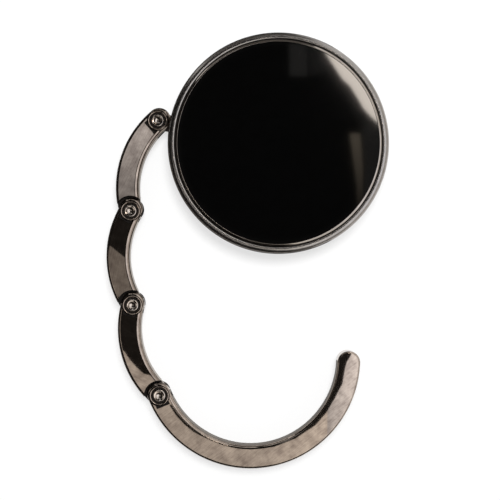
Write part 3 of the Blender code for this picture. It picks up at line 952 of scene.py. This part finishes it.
@dataclass
class Base:
    """What lies under the flange: the hub, the base plate and the rubber pad."""

    hub_radius: float = 0.0135
    hub_bottom: float = 0.002
    hub_top: float = 0.00655
    plate_low: float = 0.00105
    plate_high: float = 0.00195
    pad_radius: float = 0.0132
    pad_top: float = 0.001
    pad_round: float = 0.0002
    channel_radius: float = 0.00205
    channel_steps: int = 24
    edge: float = 0.00012
    steps: int = 128

    def build_hub(self, shop: Workshop, swivel: Swivel) -> None:
        """Turns the hub and cuts the barrel's channel and the clip's pocket into it.

        Args:
            shop: The workshop that dresses it.
            swivel: The swivel, whose line the channel follows.
        """
        body = rod(self.hub_radius, self.hub_bottom, self.hub_top, self.steps, self.edge, self.edge)
        piece = body.object("hub", shop.dressed(Finish.UNDERSIDE))
        radius = self.channel_radius
        start, end = swivel.channel
        pen = Pen((-radius, -radius), Plane.FLAT, start).line((0, -radius))
        tunnel = pen.swing((0, 0), math.pi, self.channel_steps).line((-radius, radius)).raised(end - start)
        pocket = block(*swivel.pocket)
        # Painted shade: the faces that the channel, pocket and wells cut take the nearly black recess finish
        cutters = [
            tunnel.moved(swivel.along).object("cut_channel", shop.dressed(Finish.RECESS)),
            pocket.moved(swivel.line).object("cut_pocket", shop.dressed(Finish.RECESS)),
        ]
        for number in SCREWS:
            stand, post_radius = stand_of(f"standoff_{number}")
            foot, head = self.hub_bottom - radius, self.hub_top + radius
            well = rod(post_radius + swivel.seat_gap, foot, head, SHAFT_STEPS).moved(stand)
            cutters.append(well.object(f"cut_well_{number}", shop.dressed(Finish.RECESS)))
        carve(piece, cutters)
        shop.hand_over(piece, "root", "hub_block")

    def build_plate(self, shop: Workshop) -> None:
        """Turns the base plate and countersinks it for the screws.

        Args:
            shop: The workshop that dresses it.
        """
        body = rod(self.hub_radius, self.plate_low, self.plate_high, self.steps, self.edge, self.edge)
        piece = body.object("base_plate_disc", shop.dressed(Finish.STEEL))
        cutters = []
        for number in SCREWS:
            stand, head = stand_of(f"base_screw_{number}")
            corners = [
                Corner(0.0, self.plate_high + head),
                Corner(head / 2, self.plate_high + head),
                Corner(head / 2, self.plate_low + head / 2),
                Corner(head + self.edge, self.plate_low - self.edge),
                Corner(0.0, self.plate_low - self.edge),
            ]
            sink = turned(corners, SHAFT_STEPS).moved(stand)
            cutters.append(sink.object(f"cut_sink_{number}", shop.dressed(Finish.STEEL)))
        carve(piece, cutters)
        shop.hand_over(piece, "root", "base_plate")

    def build_pad(self, shop: Workshop) -> None:
        """Turns the rubber pad.

        Args:
            shop: The workshop that dresses it.
        """
        body = rod(self.pad_radius, 0.0, self.pad_top, self.steps, self.edge, self.pad_round)
        piece = body.object("rubber_pad", shop.dressed(Finish.PAD))
        shop.hand_over(piece, "root", "anti_slip_pad")


# Cards, which only mirrors see


class Axis(Enum):
    """The axis that a card's light fades along."""

    X = 0
    Y = 1


@dataclass(frozen=True)
class Card:
    """A flat card that only reflections see: a dark flag, or a lit panel that may fade along one axis."""

    name: str
    strength: float
    far_strength: float | None = None
    fades_along: Axis = Axis.X
    colour: str = "#FFFAF4"

    def build(self, corners: Sequence[Place]) -> None:
        """Stands the card in the studio.

        Args:
            corners: Its corners, in order.
        """
        along = self.fades_along.value
        material, tree = new_tree(f"card_{self.name}")
        place = add_node(tree, "ShaderNodeTexCoord", {}, "Object")
        ramp = {
            "Value": add_node(tree, "ShaderNodeSeparateXYZ", {0: place}, along),
            "From Min": min(c[along] for c in corners),
            "From Max": max(c[along] for c in corners) + MERGE,
            "To Min": self.strength,
            "To Max": self.strength if self.far_strength is None else self.far_strength,
        }
        level = add_node(tree, "ShaderNodeMapRange", ramp)
        light = add_node(tree, "ShaderNodeEmission", {"Color": srgb(self.colour), "Strength": level})
        add_node(tree, "ShaderNodeOutputMaterial", {"Surface": light})
        sheet = Solid()
        spots = [sheet.bm.verts.new(corner) for corner in corners]
        for first, second in zip(spots, spots[1:] + spots[:1]):
            sheet.bm.edges.new((first, second))
        bmesh.ops.contextual_create(sheet.bm, geom=sheet.bm.edges[:])
        card = sheet.object(f"card_{self.name}", [material])
        card.visible_camera = False
        card.visible_diffuse = False
        card.visible_shadow = False


# Chain


@dataclass
class RivetSeat:
    """The pocket at a fork's eye: a round well, a raised ring round it, a groove and a square relief."""

    well_radius: float = 0.00164
    ring_width: float = 0.0004
    ring_round: float = 0.00021
    ring_segments: int = 5
    groove_width: float = 0.00013
    groove_depth: float = 0.0004
    depth: float = 0.0006
    relief_half: float = 0.001435
    relief_reach: float = 0.00236

    def cutters(self, half: float) -> list[Solid]:
        """The solids that cut it out of a bar's upper face.

        Args:
            half: Half the bar's thickness.

        Returns:
            The cutters, in the frame of the pivot with +X along the bar.
        """
        floor, over = half - self.depth, half + self.depth
        inside = self.well_radius - self.groove_width
        outside = self.well_radius + self.ring_width + self.groove_width
        trench = [
            Corner(inside, over),
            Corner(outside, over),
            Corner(outside, half - self.groove_depth),
            Corner(inside, half - self.groove_depth),
        ]
        low = (self.well_radius, -self.relief_half, floor)
        return [
            rod(self.well_radius, floor, over, SEAT_STEPS),
            turned(trench, SEAT_STEPS, closed=True),
            block(low, (self.relief_reach, self.relief_half, over)),
        ]

    def ring(self, half: float) -> Solid:
        """The raised ring, as its own shell that stands on the trench's floor.

        Args:
            half: Half the bar's thickness.

        Returns:
            The ring, in the pivot's frame.
        """
        outer = self.well_radius + self.ring_width
        corners = [
            Corner(self.well_radius, half - self.depth),
            Corner(self.well_radius, half, self.ring_round),
            Corner(outer, half, self.ring_round),
            Corner(outer, half - self.depth),
        ]
        return turned(corners, SEAT_STEPS, closed=True, segments=self.ring_segments)


@dataclass
class ChainBar:
    """A curved bar of the chain: forked at its first pivot, and with a tongue at its far pivot if a link.

    Its own frame has the first pivot at the origin and +X towards the far end, and it bulges to -Y.
    """

    node: str
    body: str
    pivot: Vector
    turn: float
    arc_radius: float
    span: float
    far_pivot: Vector | None = None
    mouth: float = 0.0
    steps: int = 40
    end_steps: int = 28
    slot_steps: int = 32
    shoulder_steps: int = 96
    rim_segments: int = 7
    grain: float = 0.0
    half_width: float = 0.00235
    half: float = 0.0023
    edge: float = 0.0006
    inner_edge: float = 0.00085
    tip_inner_edge: float | None = None
    sharpens: tuple[float, float] = (0.55, 0.8)
    overhang: float = 0.00042
    tongue_half: float = 0.0008
    fork_top: float = 0.00087
    fork_bottom: float = -0.00119
    fork_radius: float = 0.00265
    shoulder_radius: float = 0.00313
    shoulder_chamfer: float = 0.00008
    rivet_hole: float = 0.00097
    shade: float = 0.5
    tip_shade: float | None = None
    shade_reach: float = 0.0009
    shade_height: float = 0.0003
    edge_shade: float = 0.18
    edge_shade_reach: float = 0.007
    edge_shade_height: float = 0.00025
    shade_steps: int = 24
    seat: RivetSeat = field(default_factory=RivetSeat)

    @property
    def place(self) -> Matrix:
        """The bar's own frame."""
        return Matrix.Translation(self.pivot) @ Matrix.Rotation(self.turn, 4, "Z")

    @property
    def centre(self) -> Vector:
        """The centre of the bar's arc, in plan, in its own frame."""
        half_span = self.span / 2
        return Vector((self.arc_radius * math.sin(half_span), self.arc_radius * math.cos(half_span)))

    def blank(self) -> Solid:
        """The plain bar with round ends, and a weight on each rim edge for how far to round it.

        Returns:
            The bar, in its own frame.
        """
        centre = self.centre
        start = -math.pi / 2 - self.span / 2 - self.overhang / self.arc_radius
        end = -math.pi / 2 + self.span / 2
        first = centre + self.arc_radius * Vector((math.cos(start), math.sin(start)))
        last = centre + self.arc_radius * Vector((math.cos(end), math.sin(end)))
        outer = self.arc_radius + self.half_width
        begin = centre + outer * Vector((math.cos(start), math.sin(start)))
        pen = Pen(tuple(begin), Plane.FLAT, -self.half)
        pen.swing(tuple(centre), end - start, self.steps).swing(tuple(last), math.pi, self.end_steps)
        pen.swing(tuple(centre), start - end, self.steps).swing(tuple(first), math.pi, self.end_steps)
        solid = pen.raised(2 * self.half)
        weight = solid.bm.edges.layers.float.new("bevel_weight_edge")
        for edge in flat_rims(solid):
            middle = (edge.verts[0].co + edge.verts[1].co) / 2
            ray = middle.xy - centre
            inwards = (self.arc_radius + self.half_width - ray.length) / (2 * self.half_width)
            along = ((math.atan2(ray.y, ray.x) - start + 1) % (2 * math.pi) - 1) / (end - start)
            inner = self.inner_edge_at(along)
            edge[weight] = (self.edge + (inner - self.edge) * inwards) / self.inner_edge
        return solid

    def inner_edge_at(self, along: float) -> float:
        """How far the inner rim is rounded at a place along the bar.

        Args:
            along: The place, from 0.0 at the fork to 1.0 at the far end.

        Returns:
            The rounding's radius.
        """
        if self.tip_inner_edge is None:
            return self.inner_edge
        begin, end = self.sharpens
        share = min(max((along - begin) / (end - begin), 0.0), 1.0)
        return self.inner_edge + (self.tip_inner_edge - self.inner_edge) * share

    def fork_cutters(self) -> list[Solid]:
        """The solids that cut the fork's slot, the rivet's hole and both rivet seats.

        Returns:
            The cutters, in the bar's own frame.
        """
        tangent = Matrix.Rotation(-self.span / 2, 4, "Z")
        radius, reach = self.fork_radius, 2 * self.fork_radius
        pen = Pen((-reach, -radius), Plane.FLAT, self.fork_bottom).line((0, -radius))
        pen.swing((0, 0), math.pi, self.slot_steps).line((-reach, radius))
        made = [pen.raised(self.fork_top - self.fork_bottom).moved(tangent)]
        if self.mouth:
            low = (-reach, 0.0, self.fork_bottom)
            made.append(block(low, (self.mouth, reach, self.fork_top)).moved(tangent))
        made.append(rod(self.rivet_hole, -2 * self.half, 2 * self.half, BORE_STEPS))
        below = Matrix.Rotation(math.pi, 4, "X") @ tangent.inverted()
        for side in (tangent, below):
            made.extend(cutter.moved(side) for cutter in self.seat.cutters(self.half))
        return made

    def tongue_cutters(self) -> list[Solid]:
        """The solids that cut the two shoulders and the rivet's hole at the far pivot.

        Returns:
            The cutters, in the bar's own frame, and none for a bar without a tongue.
        """
        if self.far_pivot is None:
            return []
        away = Matrix.Translation(((self.far_pivot - self.pivot).length, 0, 0))
        over = self.half + self.shoulder_chamfer
        made = []
        for low, high in ((self.tongue_half, over), (-over, -self.tongue_half)):
            made.append(rod(self.shoulder_radius, low, high, self.shoulder_steps).moved(away))
        made.append(rod(self.rivet_hole, -self.half, self.half, BORE_STEPS).moved(away))
        return made

    def build(self, shop: Workshop) -> None:
        """Makes the bar, sets it in its place and lays its shadow on the table.

        Args:
            shop: The workshop that dresses it.
        """
        metal = PolishedGunmetal(f"gunmetal_polished_{self.node}", grain_turn=self.grain).build()
        # Painted shade: every cut face, in the slot, wells, trenches, relief and shoulders, takes the nearly
        # black recess finish
        recess = shop.materials[Finish.RECESS]
        piece = self.blank().object(f"{self.node}_bar", [metal, recess])
        soft = piece.modifiers.new("soft_edges", "BEVEL")
        soft.limit_method = "WEIGHT"
        soft.width = self.inner_edge
        soft.segments = self.rim_segments
        tools = self.fork_cutters() + self.tongue_cutters()
        carve(piece, [tool.object(f"cut_{i}", [recess]) for i, tool in enumerate(tools)])
        for side in (0.0, math.pi):
            ring = self.seat.ring(self.half).moved(Matrix.Rotation(side, 4, "X"))
            absorb(piece, ring, 0)
        piece.data.transform(self.place)
        shop.hand_over(piece, self.body, self.node)
        self.lay_shades()

    def lay_shades(self) -> None:
        """Lays the bar's shadow on the table, as its inner side and the edge above that side mirror it."""
        inner = self.arc_radius - self.half_width
        near = inner - self.shade_reach
        outline = self.beside(near, inner + self.half_width, self.shade_height)
        Card(f"shade_near_{self.node}", self.shade, self.tip_shade).build(outline)
        outline = self.beside(inner - self.edge_shade_reach, near, self.edge_shade_height)
        Card(f"shade_far_{self.node}", self.edge_shade).build(outline)

    def beside(self, low: float, high: float, height: float) -> list[Place]:
        """The outline of a curved card beside the bar.

        Args:
            low: Its smaller radius round the bar's centre.
            high: Its larger radius.
            height: How high over the table it lies.

        Returns:
            The outline, in the row frame.
        """
        middle, half_span = -math.pi / 2, self.span / 2
        spots = band(low, high, middle - half_span, middle + half_span, self.shade_steps)
        placed = [self.place @ (self.centre + Vector(spot)).to_3d() for spot in spots]
        return [(spot.x, spot.y, height) for spot in placed]


@dataclass
class Rivet:
    """A rivet with a rolled head at each end, which is a raised lip round a shallow cup."""

    number: int
    body: str
    pivot: Vector
    shank: float = 0.0009
    head: float = 0.0013
    head_top: float = 0.0022
    head_foot: float = 0.00175
    cup_depth: float = 0.00042
    cup_curve: float = 0.001
    cup_edge: float = 0.00078
    cup_steps: int = 10
    roll: float = 0.00024
    roll_steps: int = 8

    def build(self, shop: Workshop) -> None:
        """Turns the rivet and sets it in its place.

        Args:
            shop: The workshop that dresses it.
        """
        cup = self.head_top - self.cup_depth
        crest = self.head - self.roll
        pen = Pen((0.0, cup), Plane.UPRIGHT)
        pen.swing((0.0, cup + self.cup_curve), math.asin(self.cup_edge / self.cup_curve), self.cup_steps)
        pen.line((crest - self.roll / 3, self.head_top - self.roll / 12), (crest, self.head_top))
        pen.swing((crest, self.head_top - self.roll), -math.pi / 2, self.roll_steps)
        pen.line((self.head, self.head_foot), (self.shank, self.head_foot), (self.shank, 0.0))
        solid = pen.turned(SHAFT_STEPS)
        bm = solid.bm
        bmesh.ops.mirror(bm, geom=bm.verts[:] + bm.edges[:] + bm.faces[:], axis="Z", merge_dist=MERGE)
        solid.clean().moved(Matrix.Translation(self.pivot))
        piece = solid.object(f"rivet_{self.number}_rolled", shop.dressed(Finish.RIVET))
        shop.hand_over(piece, self.body, f"rivet_{self.number}")


@dataclass
class Chain:
    """The three links, the hook and their rivets."""

    pivots: list[Vector]
    link_arc: float = 0.0184
    link_span: float = math.radians(63.48)
    first_mouth: float = 0.0024
    hook_arc: float = 0.0202
    hook_span: float = math.radians(155.6)
    hook_turn: float = math.radians(9.9)
    hook_steps: int = 200
    hook_tip_shade: float = 0.2
    hook_tip_inner_edge: float = 0.00045
    grains: tuple[float, ...] = (math.radians(62), math.radians(80), math.radians(-25), math.radians(38))
    shades: tuple[float, ...] = (0.5, 0.6, 0.65, 0.4)

    def build(self, shop: Workshop) -> None:
        """Builds every bar and rivet.

        Args:
            shop: The workshop that dresses them.
        """
        for number, (pivot, following) in enumerate(zip(self.pivots, self.pivots[1:]), 1):
            run = following - pivot
            ChainBar(
                node=f"link_{number}",
                body=f"link_{number}",
                pivot=pivot,
                turn=math.atan2(run.y, run.x),
                arc_radius=self.link_arc,
                span=self.link_span,
                far_pivot=following,
                mouth=self.first_mouth if number == 1 else 0.0,
                grain=self.grains[number - 1],
                shade=self.shades[number - 1],
            ).build(shop)
        ChainBar(
            node="hook_end",
            body="hook",
            pivot=self.pivots[-1],
            turn=self.hook_turn,
            arc_radius=self.hook_arc,
            span=self.hook_span,
            steps=self.hook_steps,
            grain=self.grains[-1],
            shade=self.shades[-1],
            tip_shade=self.hook_tip_shade,
            tip_inner_edge=self.hook_tip_inner_edge,
        ).build(shop)
        for number, (body, pivot) in enumerate(zip(LINK_BODIES, self.pivots), 1):
            Rivet(number, body, pivot).build(shop)


# Studio


class Placing(Enum):
    """What the outline of a card overhead is drawn on."""

    CHAIN = "the picture, as the chain's flat tops mirror the card"
    FACE = "the picture, as the disc's face mirrors it"
    DOME = "the picture, as the face mirrors it with its slight dome"
    PLAN = "the plan, in millimetres"


@dataclass(frozen=True)
class Hanging:
    """A card that hangs level, this far below the ceiling, or above it if the drop is less than nothing."""

    card: Card
    placing: Placing
    outline: Sequence[Spot]
    drop: float = 0.0


@dataclass(frozen=True)
class Wall:
    """A card that stands upright between two spots of the plan, in millimetres."""

    card: Card
    start: Spot
    end: Spot


@dataclass(frozen=True)
class Ring:
    """A card that lies on the table round the disc, with its radii in millimetres and bearings in degrees."""

    card: Card
    low: float
    high: float
    first: float
    last: float


def oblong(low: Spot, high: Spot) -> tuple[Spot, ...]:
    """The outline of an upright rectangle between its lower left and its upper right corner."""
    return (low, (high[0], low[1]), high, (low[0], high[1]))


def circle(middle: Spot, radius: float, steps: int) -> tuple[Spot, ...]:
    """The outline of a circle, with this many edges."""
    angles = [2 * math.pi * step / steps for step in range(steps)]
    return tuple((middle[0] + radius * math.cos(a), middle[1] + radius * math.sin(a)) for a in angles)


# Outlines in picture units, from the picture's left and top edges
PICTURE_MIDDLE = 250
DISC_MIDDLE = (278.5, 142.2)
DISC_FLAG_RADIUS = 105
DISC_FLAG = circle(DISC_MIDDLE, DISC_FLAG_RADIUS, steps=48)
CHAIN_FLAG = (
    (150, -440), (150, 128), (163, 150), (163, 207), (20, 207), (20, 240), (110, 246), (126, 258),
    (141, 262), (146, 297), (60, 297), (60, 345), (118, 347), (124, 352), (129, 359), (136, 367),
    (144, 374), (154, 376), (160, 377), (172, 392), (190, 413), (212, 430), (228, 440), (238, 446),
    (250, 449.3), (273.8, 446.9), (296, 438.3), (315.8, 424.8), (326.3, 412.8), (335, 398),
    (342.4, 383.5), (345.2, 367), (347.4, 361), (351, 355), (353, 345), (365, 300), (392, 240),
    (400, 140), (400, -440),
)
HOOK_LINE = (
    (240, 448.2), (225, 445.4), (212, 440.8), (200, 435.4), (193, 431.4), (184.4, 424.4),
    (176.2, 415.4), (169.5, 405.3), (171.5, 404), (178, 413.8), (186.2, 422.6), (194.3, 429.6),
    (201, 433.4), (212, 438.6), (225, 443.2), (240, 446.2),
)
HALF_LIT = ((60, 240), (110, 246), (126, 258), (141, 262), (146, 297), (60, 297))
WINDOW_CORNER = (
    (327, 50), (336, 67), (343, 79), (351, 86), (357, 96), (365, 109), (374, 117), (383, 123),
    (405, 134), (390, 95), (365, 60), (335, 33),
)
WINDOW_STREAK = ((353, 133), (364, 133), (367, 170), (370, 214), (364, 214), (358, 170))
FAR_PANE = oblong((290, 36), (309, 73))
NEAR_PANE = ((311, 36), (326, 40), (334, 68), (312, 72))
FRAME_EDGE = ((366, 122), (388, 128), (390, 190), (371, 216), (369, 170))

# Places in plan, in millimetres
ROOM_LEFT = -90
ROOM_RIGHT = 130
ROOM_FRONT = -120
ROOM_BACK = 110
LEFT_FLAG_END = 80
FRONT_FLAG_END = 10
BACK_FLAG_END = 40
LEFT_CEILING = oblong((-430, -320), (-105, 400))
BACK_CEILING = oblong((-107, 76), (-50, 700))
FRONT_CEILING = ((-430, -228), (20, -228), (150, -640), (-430, -640))
LONG_PANEL = oblong((-100, -330), (0, 0))
TIP_PANEL = oblong((0, -330), (95, 0))
END_PANEL = oblong((36, -150), (62, -60))
COOL_PANEL = oblong((-104, 0), (-52, 75))
SIDE_PANEL = oblong((115, -300), (520, 90))
SLIVER = oblong((-330, -100), (-140, -12))
# Painted shadows: dark cards on the table round the object's foot, which its lower edges mirror as the shade
# there
TABLE_SHADOW = (
    (-23, 13), (-31, 2), (-36, -10), (-38, -25), (-38, -42), (-34, -56), (-24, -66), (-18, -69),
    (-24, -95), (-45, -88), (-80, -60), (-85, -25), (-75, 5), (-50, 30), (-27, 45),
)
TABLE_SHADOW_FADE = ((-18, -69), (-12, -71), (0, -71), (20, -66), (40, -80), (20, -100), (-24, -95))

# Painted shadows, the one in front fading out towards the right
TABLE_CARDS = ((Card("table_shadow", 0.08), TABLE_SHADOW), (Card("table_shadow_fade", 0.08, 0.9), TABLE_SHADOW_FADE))
TABLE_RINGS = (
    Ring(Card("disc_shadow_ring", 0.05), low=23.2, high=40, first=60, last=300),
    Ring(Card("back_shadow_ring", 0.05), low=40, high=90, first=80, last=165),
)

# The dark flags over the disc, the middle links, the left, the front and the back
FLAGS = (
    Hanging(Card("ceiling_flag", 0.025), Placing.CHAIN, CHAIN_FLAG),
    Hanging(Card("hook_line", 0.0), Placing.CHAIN, HOOK_LINE, drop=0.004),
    Hanging(Card("disc_flag", 0.004), Placing.FACE, DISC_FLAG, drop=0.0005),
    Hanging(Card("left_ceiling_flag", 0.01), Placing.PLAN, LEFT_CEILING, drop=0.001),
    Hanging(Card("front_ceiling_flag", 0.01), Placing.PLAN, FRONT_CEILING, drop=0.003),
    Hanging(Card("back_ceiling_flag", 0.02), Placing.PLAN, BACK_CEILING, drop=0.0005),
)

# The upright cards at the sides of the room, which the object's own sides mirror
WALLS = (
    Wall(Card("left_flag", 0.02), (ROOM_LEFT, ROOM_FRONT), (ROOM_LEFT, LEFT_FLAG_END)),
    Wall(Card("front_flag", 0.02), (ROOM_LEFT, ROOM_FRONT), (FRONT_FLAG_END, ROOM_FRONT)),
    Wall(Card("front_fade", 0.02, 0.55), (FRONT_FLAG_END, ROOM_FRONT), (ROOM_RIGHT, ROOM_FRONT)),
    Wall(Card("right_wall", 0.66), (ROOM_RIGHT, ROOM_FRONT), (ROOM_RIGHT, ROOM_BACK)),
    Wall(Card("back_flag", 0.12), (ROOM_LEFT, ROOM_BACK), (BACK_FLAG_END, ROOM_BACK)),
)

# The lit panels: the window whose corner shows in the face, and the long ones over the chain
PANELS = (
    Hanging(Card("half_lit_panel", 0.33), Placing.CHAIN, HALF_LIT, drop=0.001),
    Hanging(Card("window_corner", 11.0, colour="#FFF3E6"), Placing.DOME, WINDOW_CORNER, drop=0.002),
    Hanging(Card("window_streak", 0.15, 1.0, Axis.Y, "#FFEBD0"), Placing.FACE, WINDOW_STREAK, drop=0.002),
    Hanging(Card("far_pane", 0.19), Placing.FACE, FAR_PANE, drop=0.0015),
    Hanging(Card("near_pane", 0.1), Placing.FACE, NEAR_PANE, drop=0.0015),
    Hanging(Card("frame_edge", 0.13), Placing.FACE, FRAME_EDGE, drop=0.0015),
    Hanging(Card("long_panel", 0.76, 0.88), Placing.PLAN, LONG_PANEL, drop=-0.002),
    Hanging(Card("tip_panel", 0.88, 1.85), Placing.PLAN, TIP_PANEL, drop=-0.002),
    Hanging(Card("end_panel", 1.0, 2.4, Axis.X, "#F8FAFF"), Placing.PLAN, END_PANEL, drop=-0.001),
    Hanging(Card("cool_panel", 0.36, 1.47, Axis.Y, "#F6F9FF"), Placing.PLAN, COOL_PANEL, drop=-0.001),
    Hanging(Card("side_panel", 1.4, colour="#F6F8FF"), Placing.PLAN, SIDE_PANEL),
    Hanging(Card("sliver", 1.0, 0.4, Axis.Y), Placing.PLAN, SLIVER, drop=0.002),
)


def looked_at(tree: bpy.types.NodeTree, *kinds: str) -> bpy.types.NodeSocket:
    """Tells the rays that look from the rays that light.

    Args:
        tree: The node tree to add this to.
        *kinds: The outputs of the light path node for more kinds of ray that count as looking.

    Returns:
        A socket that is 1 where the camera looks, straight or by a mirror, and 0 elsewhere.
    """
    looks = add_node(tree, "ShaderNodeLightPath", {}, "Is Camera Ray")
    path = looks.node
    for kind in ("Is Glossy Ray", *kinds):
        looks = add_node(tree, "ShaderNodeMath", {0: looks, 1: path.outputs[kind]}, operation="MAXIMUM")
    return looks


@dataclass
class Studio:
    """The white table, the light and the camera of the photograph."""

    eye: Place = (-0.00576, -0.0217, 0.26)
    lens: float = 89.15
    sensor: float = 36.0
    clip: tuple[float, float] = (0.01, 10.0)
    ceiling: float = 0.42
    picture_scale: float = 1238.2
    chain_top: float = 0.00635
    face_top: float = 0.0094
    dome_spread: float = 1.045
    wall: float = 0.1
    table_reach: float = 3.0
    table_paint: float = 0.95
    table_glow: float = 0.64
    table_card: float = 0.0002
    ring_card: float = 0.0001
    ring_steps: int = 40
    white: str = "#FFFFFF"
    room_light: float = 0.4
    lamp_size: float = 0.15
    lamp_power: float = 2.15
    lamp_place: Place = (0.03, 0.088, 0.5)

    def overhead(self, spot: Spot, placing: Placing, drop: float) -> Place:
        """Where a point of a hanging card's outline goes.

        A point of the picture goes where the camera sees it mirrored, in the flat top that the placing names.

        Args:
            spot: The point, on the picture or the plan.
            placing: What it is drawn on.
            drop: How far below the ceiling it hangs.

        Returns:
            The place in the row frame.
        """
        column, row = spot
        height = self.ceiling - drop
        if placing is Placing.PLAN:
            return (column / MM_PER_METRE, row / MM_PER_METRE, height)
        if placing is Placing.DOME:
            column = DISC_MIDDLE[0] + (column - DISC_MIDDLE[0]) * self.dome_spread
            row = DISC_MIDDLE[1] + (row - DISC_MIDDLE[1]) * self.dome_spread
        top = self.chain_top if placing is Placing.CHAIN else self.face_top
        reach = (self.eye[2] + height - 2 * top) / self.picture_scale
        across, along = (column - PICTURE_MIDDLE) * reach, (PICTURE_MIDDLE - row) * reach
        return (self.eye[0] + across, self.eye[1] + along, height)

    def build_floor(self) -> None:
        """Lays the white table, which keeps a soft share of the shadow."""
        material, tree = new_tree("white_table")
        paint = (self.table_paint, self.table_paint, self.table_paint, 1.0)
        paper = add_node(tree, "ShaderNodeBsdfDiffuse", {"Color": paint})
        glow = add_node(tree, "ShaderNodeEmission", {"Color": srgb(self.white), "Strength": 1.0})
        seen = looked_at(tree, "Is Transmission Ray")
        share = add_node(tree, "ShaderNodeMath", {0: seen, 1: self.table_glow}, operation="MULTIPLY")
        mixed = add_node(tree, "ShaderNodeMixShader", {0: share, 1: paper, 2: glow})
        add_node(tree, "ShaderNodeOutputMaterial", {"Surface": mixed})
        board = Solid()
        bmesh.ops.create_grid(board.bm, x_segments=1, y_segments=1, size=self.table_reach)
        table = board.object("table", [material])

    def build_light(self) -> None:
        """Fills the room with plain white light and adds a broad lamp above the far side."""
        world = bpy.data.worlds.new("studio")
        bpy.context.scene.world = world
        world.use_nodes = True
        tree = world.node_tree
        tree.nodes.clear()
        seen = looked_at(tree)
        white = srgb(self.white)
        dim = add_node(tree, "ShaderNodeBackground", {"Color": white, "Strength": self.room_light})
        bright = add_node(tree, "ShaderNodeBackground", {"Color": white, "Strength": 1.0})
        mixed = add_node(tree, "ShaderNodeMixShader", {0: seen, 1: dim, 2: bright})
        add_node(tree, "ShaderNodeOutputWorld", {"Surface": mixed})
        lamp = bpy.data.lights.new("broad_lamp", "AREA")
        lamp.shape = "DISK"
        lamp.size = self.lamp_size
        lamp.energy = self.lamp_power
        holder = bpy.data.objects.new("broad_lamp", lamp)
        bpy.context.scene.collection.objects.link(holder)
        holder.location = self.lamp_place
        holder.rotation_euler = Vector(self.lamp_place).to_track_quat("Z", "Y").to_euler()
        holder.visible_glossy = False

    def build_cards(self) -> None:
        """Hangs the flags and panels that the polished metal mirrors."""
        for hanging in FLAGS:
            self.hang(hanging)
        for wall in WALLS:
            self.stand(wall)
        for hanging in PANELS:
            self.hang(hanging)
        self.lay_table_cards()

    def hang(self, hanging: Hanging) -> None:
        """Hangs one level card."""
        hanging.card.build([self.overhead(spot, hanging.placing, hanging.drop) for spot in hanging.outline])

    def stand(self, wall: Wall) -> None:
        """Stands one upright card.

        Args:
            wall: The card, and the two ends of its foot.
        """
        left, right = ((x / MM_PER_METRE, y / MM_PER_METRE) for x, y in (wall.start, wall.end))
        wall.card.build([(*left, 0.0), (*right, 0.0), (*right, self.wall), (*left, self.wall)])

    def lay_table_cards(self) -> None:
        """Lays dark cards on the table, which the lower edges mirror as the object's own shadow."""
        for card, outline in TABLE_CARDS:
            card.build([(x / MM_PER_METRE, y / MM_PER_METRE, self.table_card) for x, y in outline])
        for ring in TABLE_RINGS:
            first, last = math.radians(ring.first), math.radians(ring.last)
            outline = band(ring.low, ring.high, first, last, self.ring_steps)
            ring.card.build([(x / MM_PER_METRE, y / MM_PER_METRE, self.ring_card) for x, y in outline])

    def build_camera(self) -> None:
        """Hangs the camera straight above the object."""
        camera = bpy.data.cameras.new("camera")
        camera.lens = self.lens
        camera.sensor_width = self.sensor
        camera.clip_start, camera.clip_end = self.clip
        holder = bpy.data.objects.new("camera", camera)
        bpy.context.scene.collection.objects.link(holder)
        holder.location = self.eye
        bpy.context.scene.camera = holder

    def build(self) -> None:
        """Sets up the whole studio."""
        self.build_floor()
        self.build_light()
        self.build_cards()
        self.build_camera()
        bpy.context.scene.view_settings.view_transform = "Standard"


def main() -> None:
    """Builds the purse hook and its studio."""
    logging.basicConfig(level=logging.INFO, format="%(message)s")
    joints = {j["name"]: j for j in frame["joints"]}
    numbers = range(1, len(LINK_BODIES) + 1)
    pivots = [Vector(joints[f"pivot_{n}"]["pos_m"]) for n in numbers]
    shop = Workshop()
    Studio().build()
    DiscCover().build(shop)
    inlay = Inlay()
    inlay.build_tray(shop)
    inlay.build_face(shop)
    swivel = Swivel(pivot=pivots[0], outward=Vector(joints["swivel"]["axis"]))
    base = Base()
    base.build_hub(shop, swivel)
    base.build_plate(shop)
    base.build_pad(shop)
    swivel.build_stud(shop)
    swivel.build_barrel(shop)
    Chain(pivots).build(shop)
    for number in SCREWS:
        shop.coat_node(f"base_screw_{number}", Finish.STEEL)
        shop.coat_node(f"standoff_{number}", Finish.STEEL)
    for number in numbers:
        shop.coat_node(f"friction_washer_{number}", Finish.SPRING)
    shop.coat_node("spring_washer", Finish.SPRING)
    shop.coat_node("retaining_clip", Finish.SPRING)
    shop.coat_node("keeper_magnet", Finish.MAGNET)


if __name__ == "__main__":
    main()
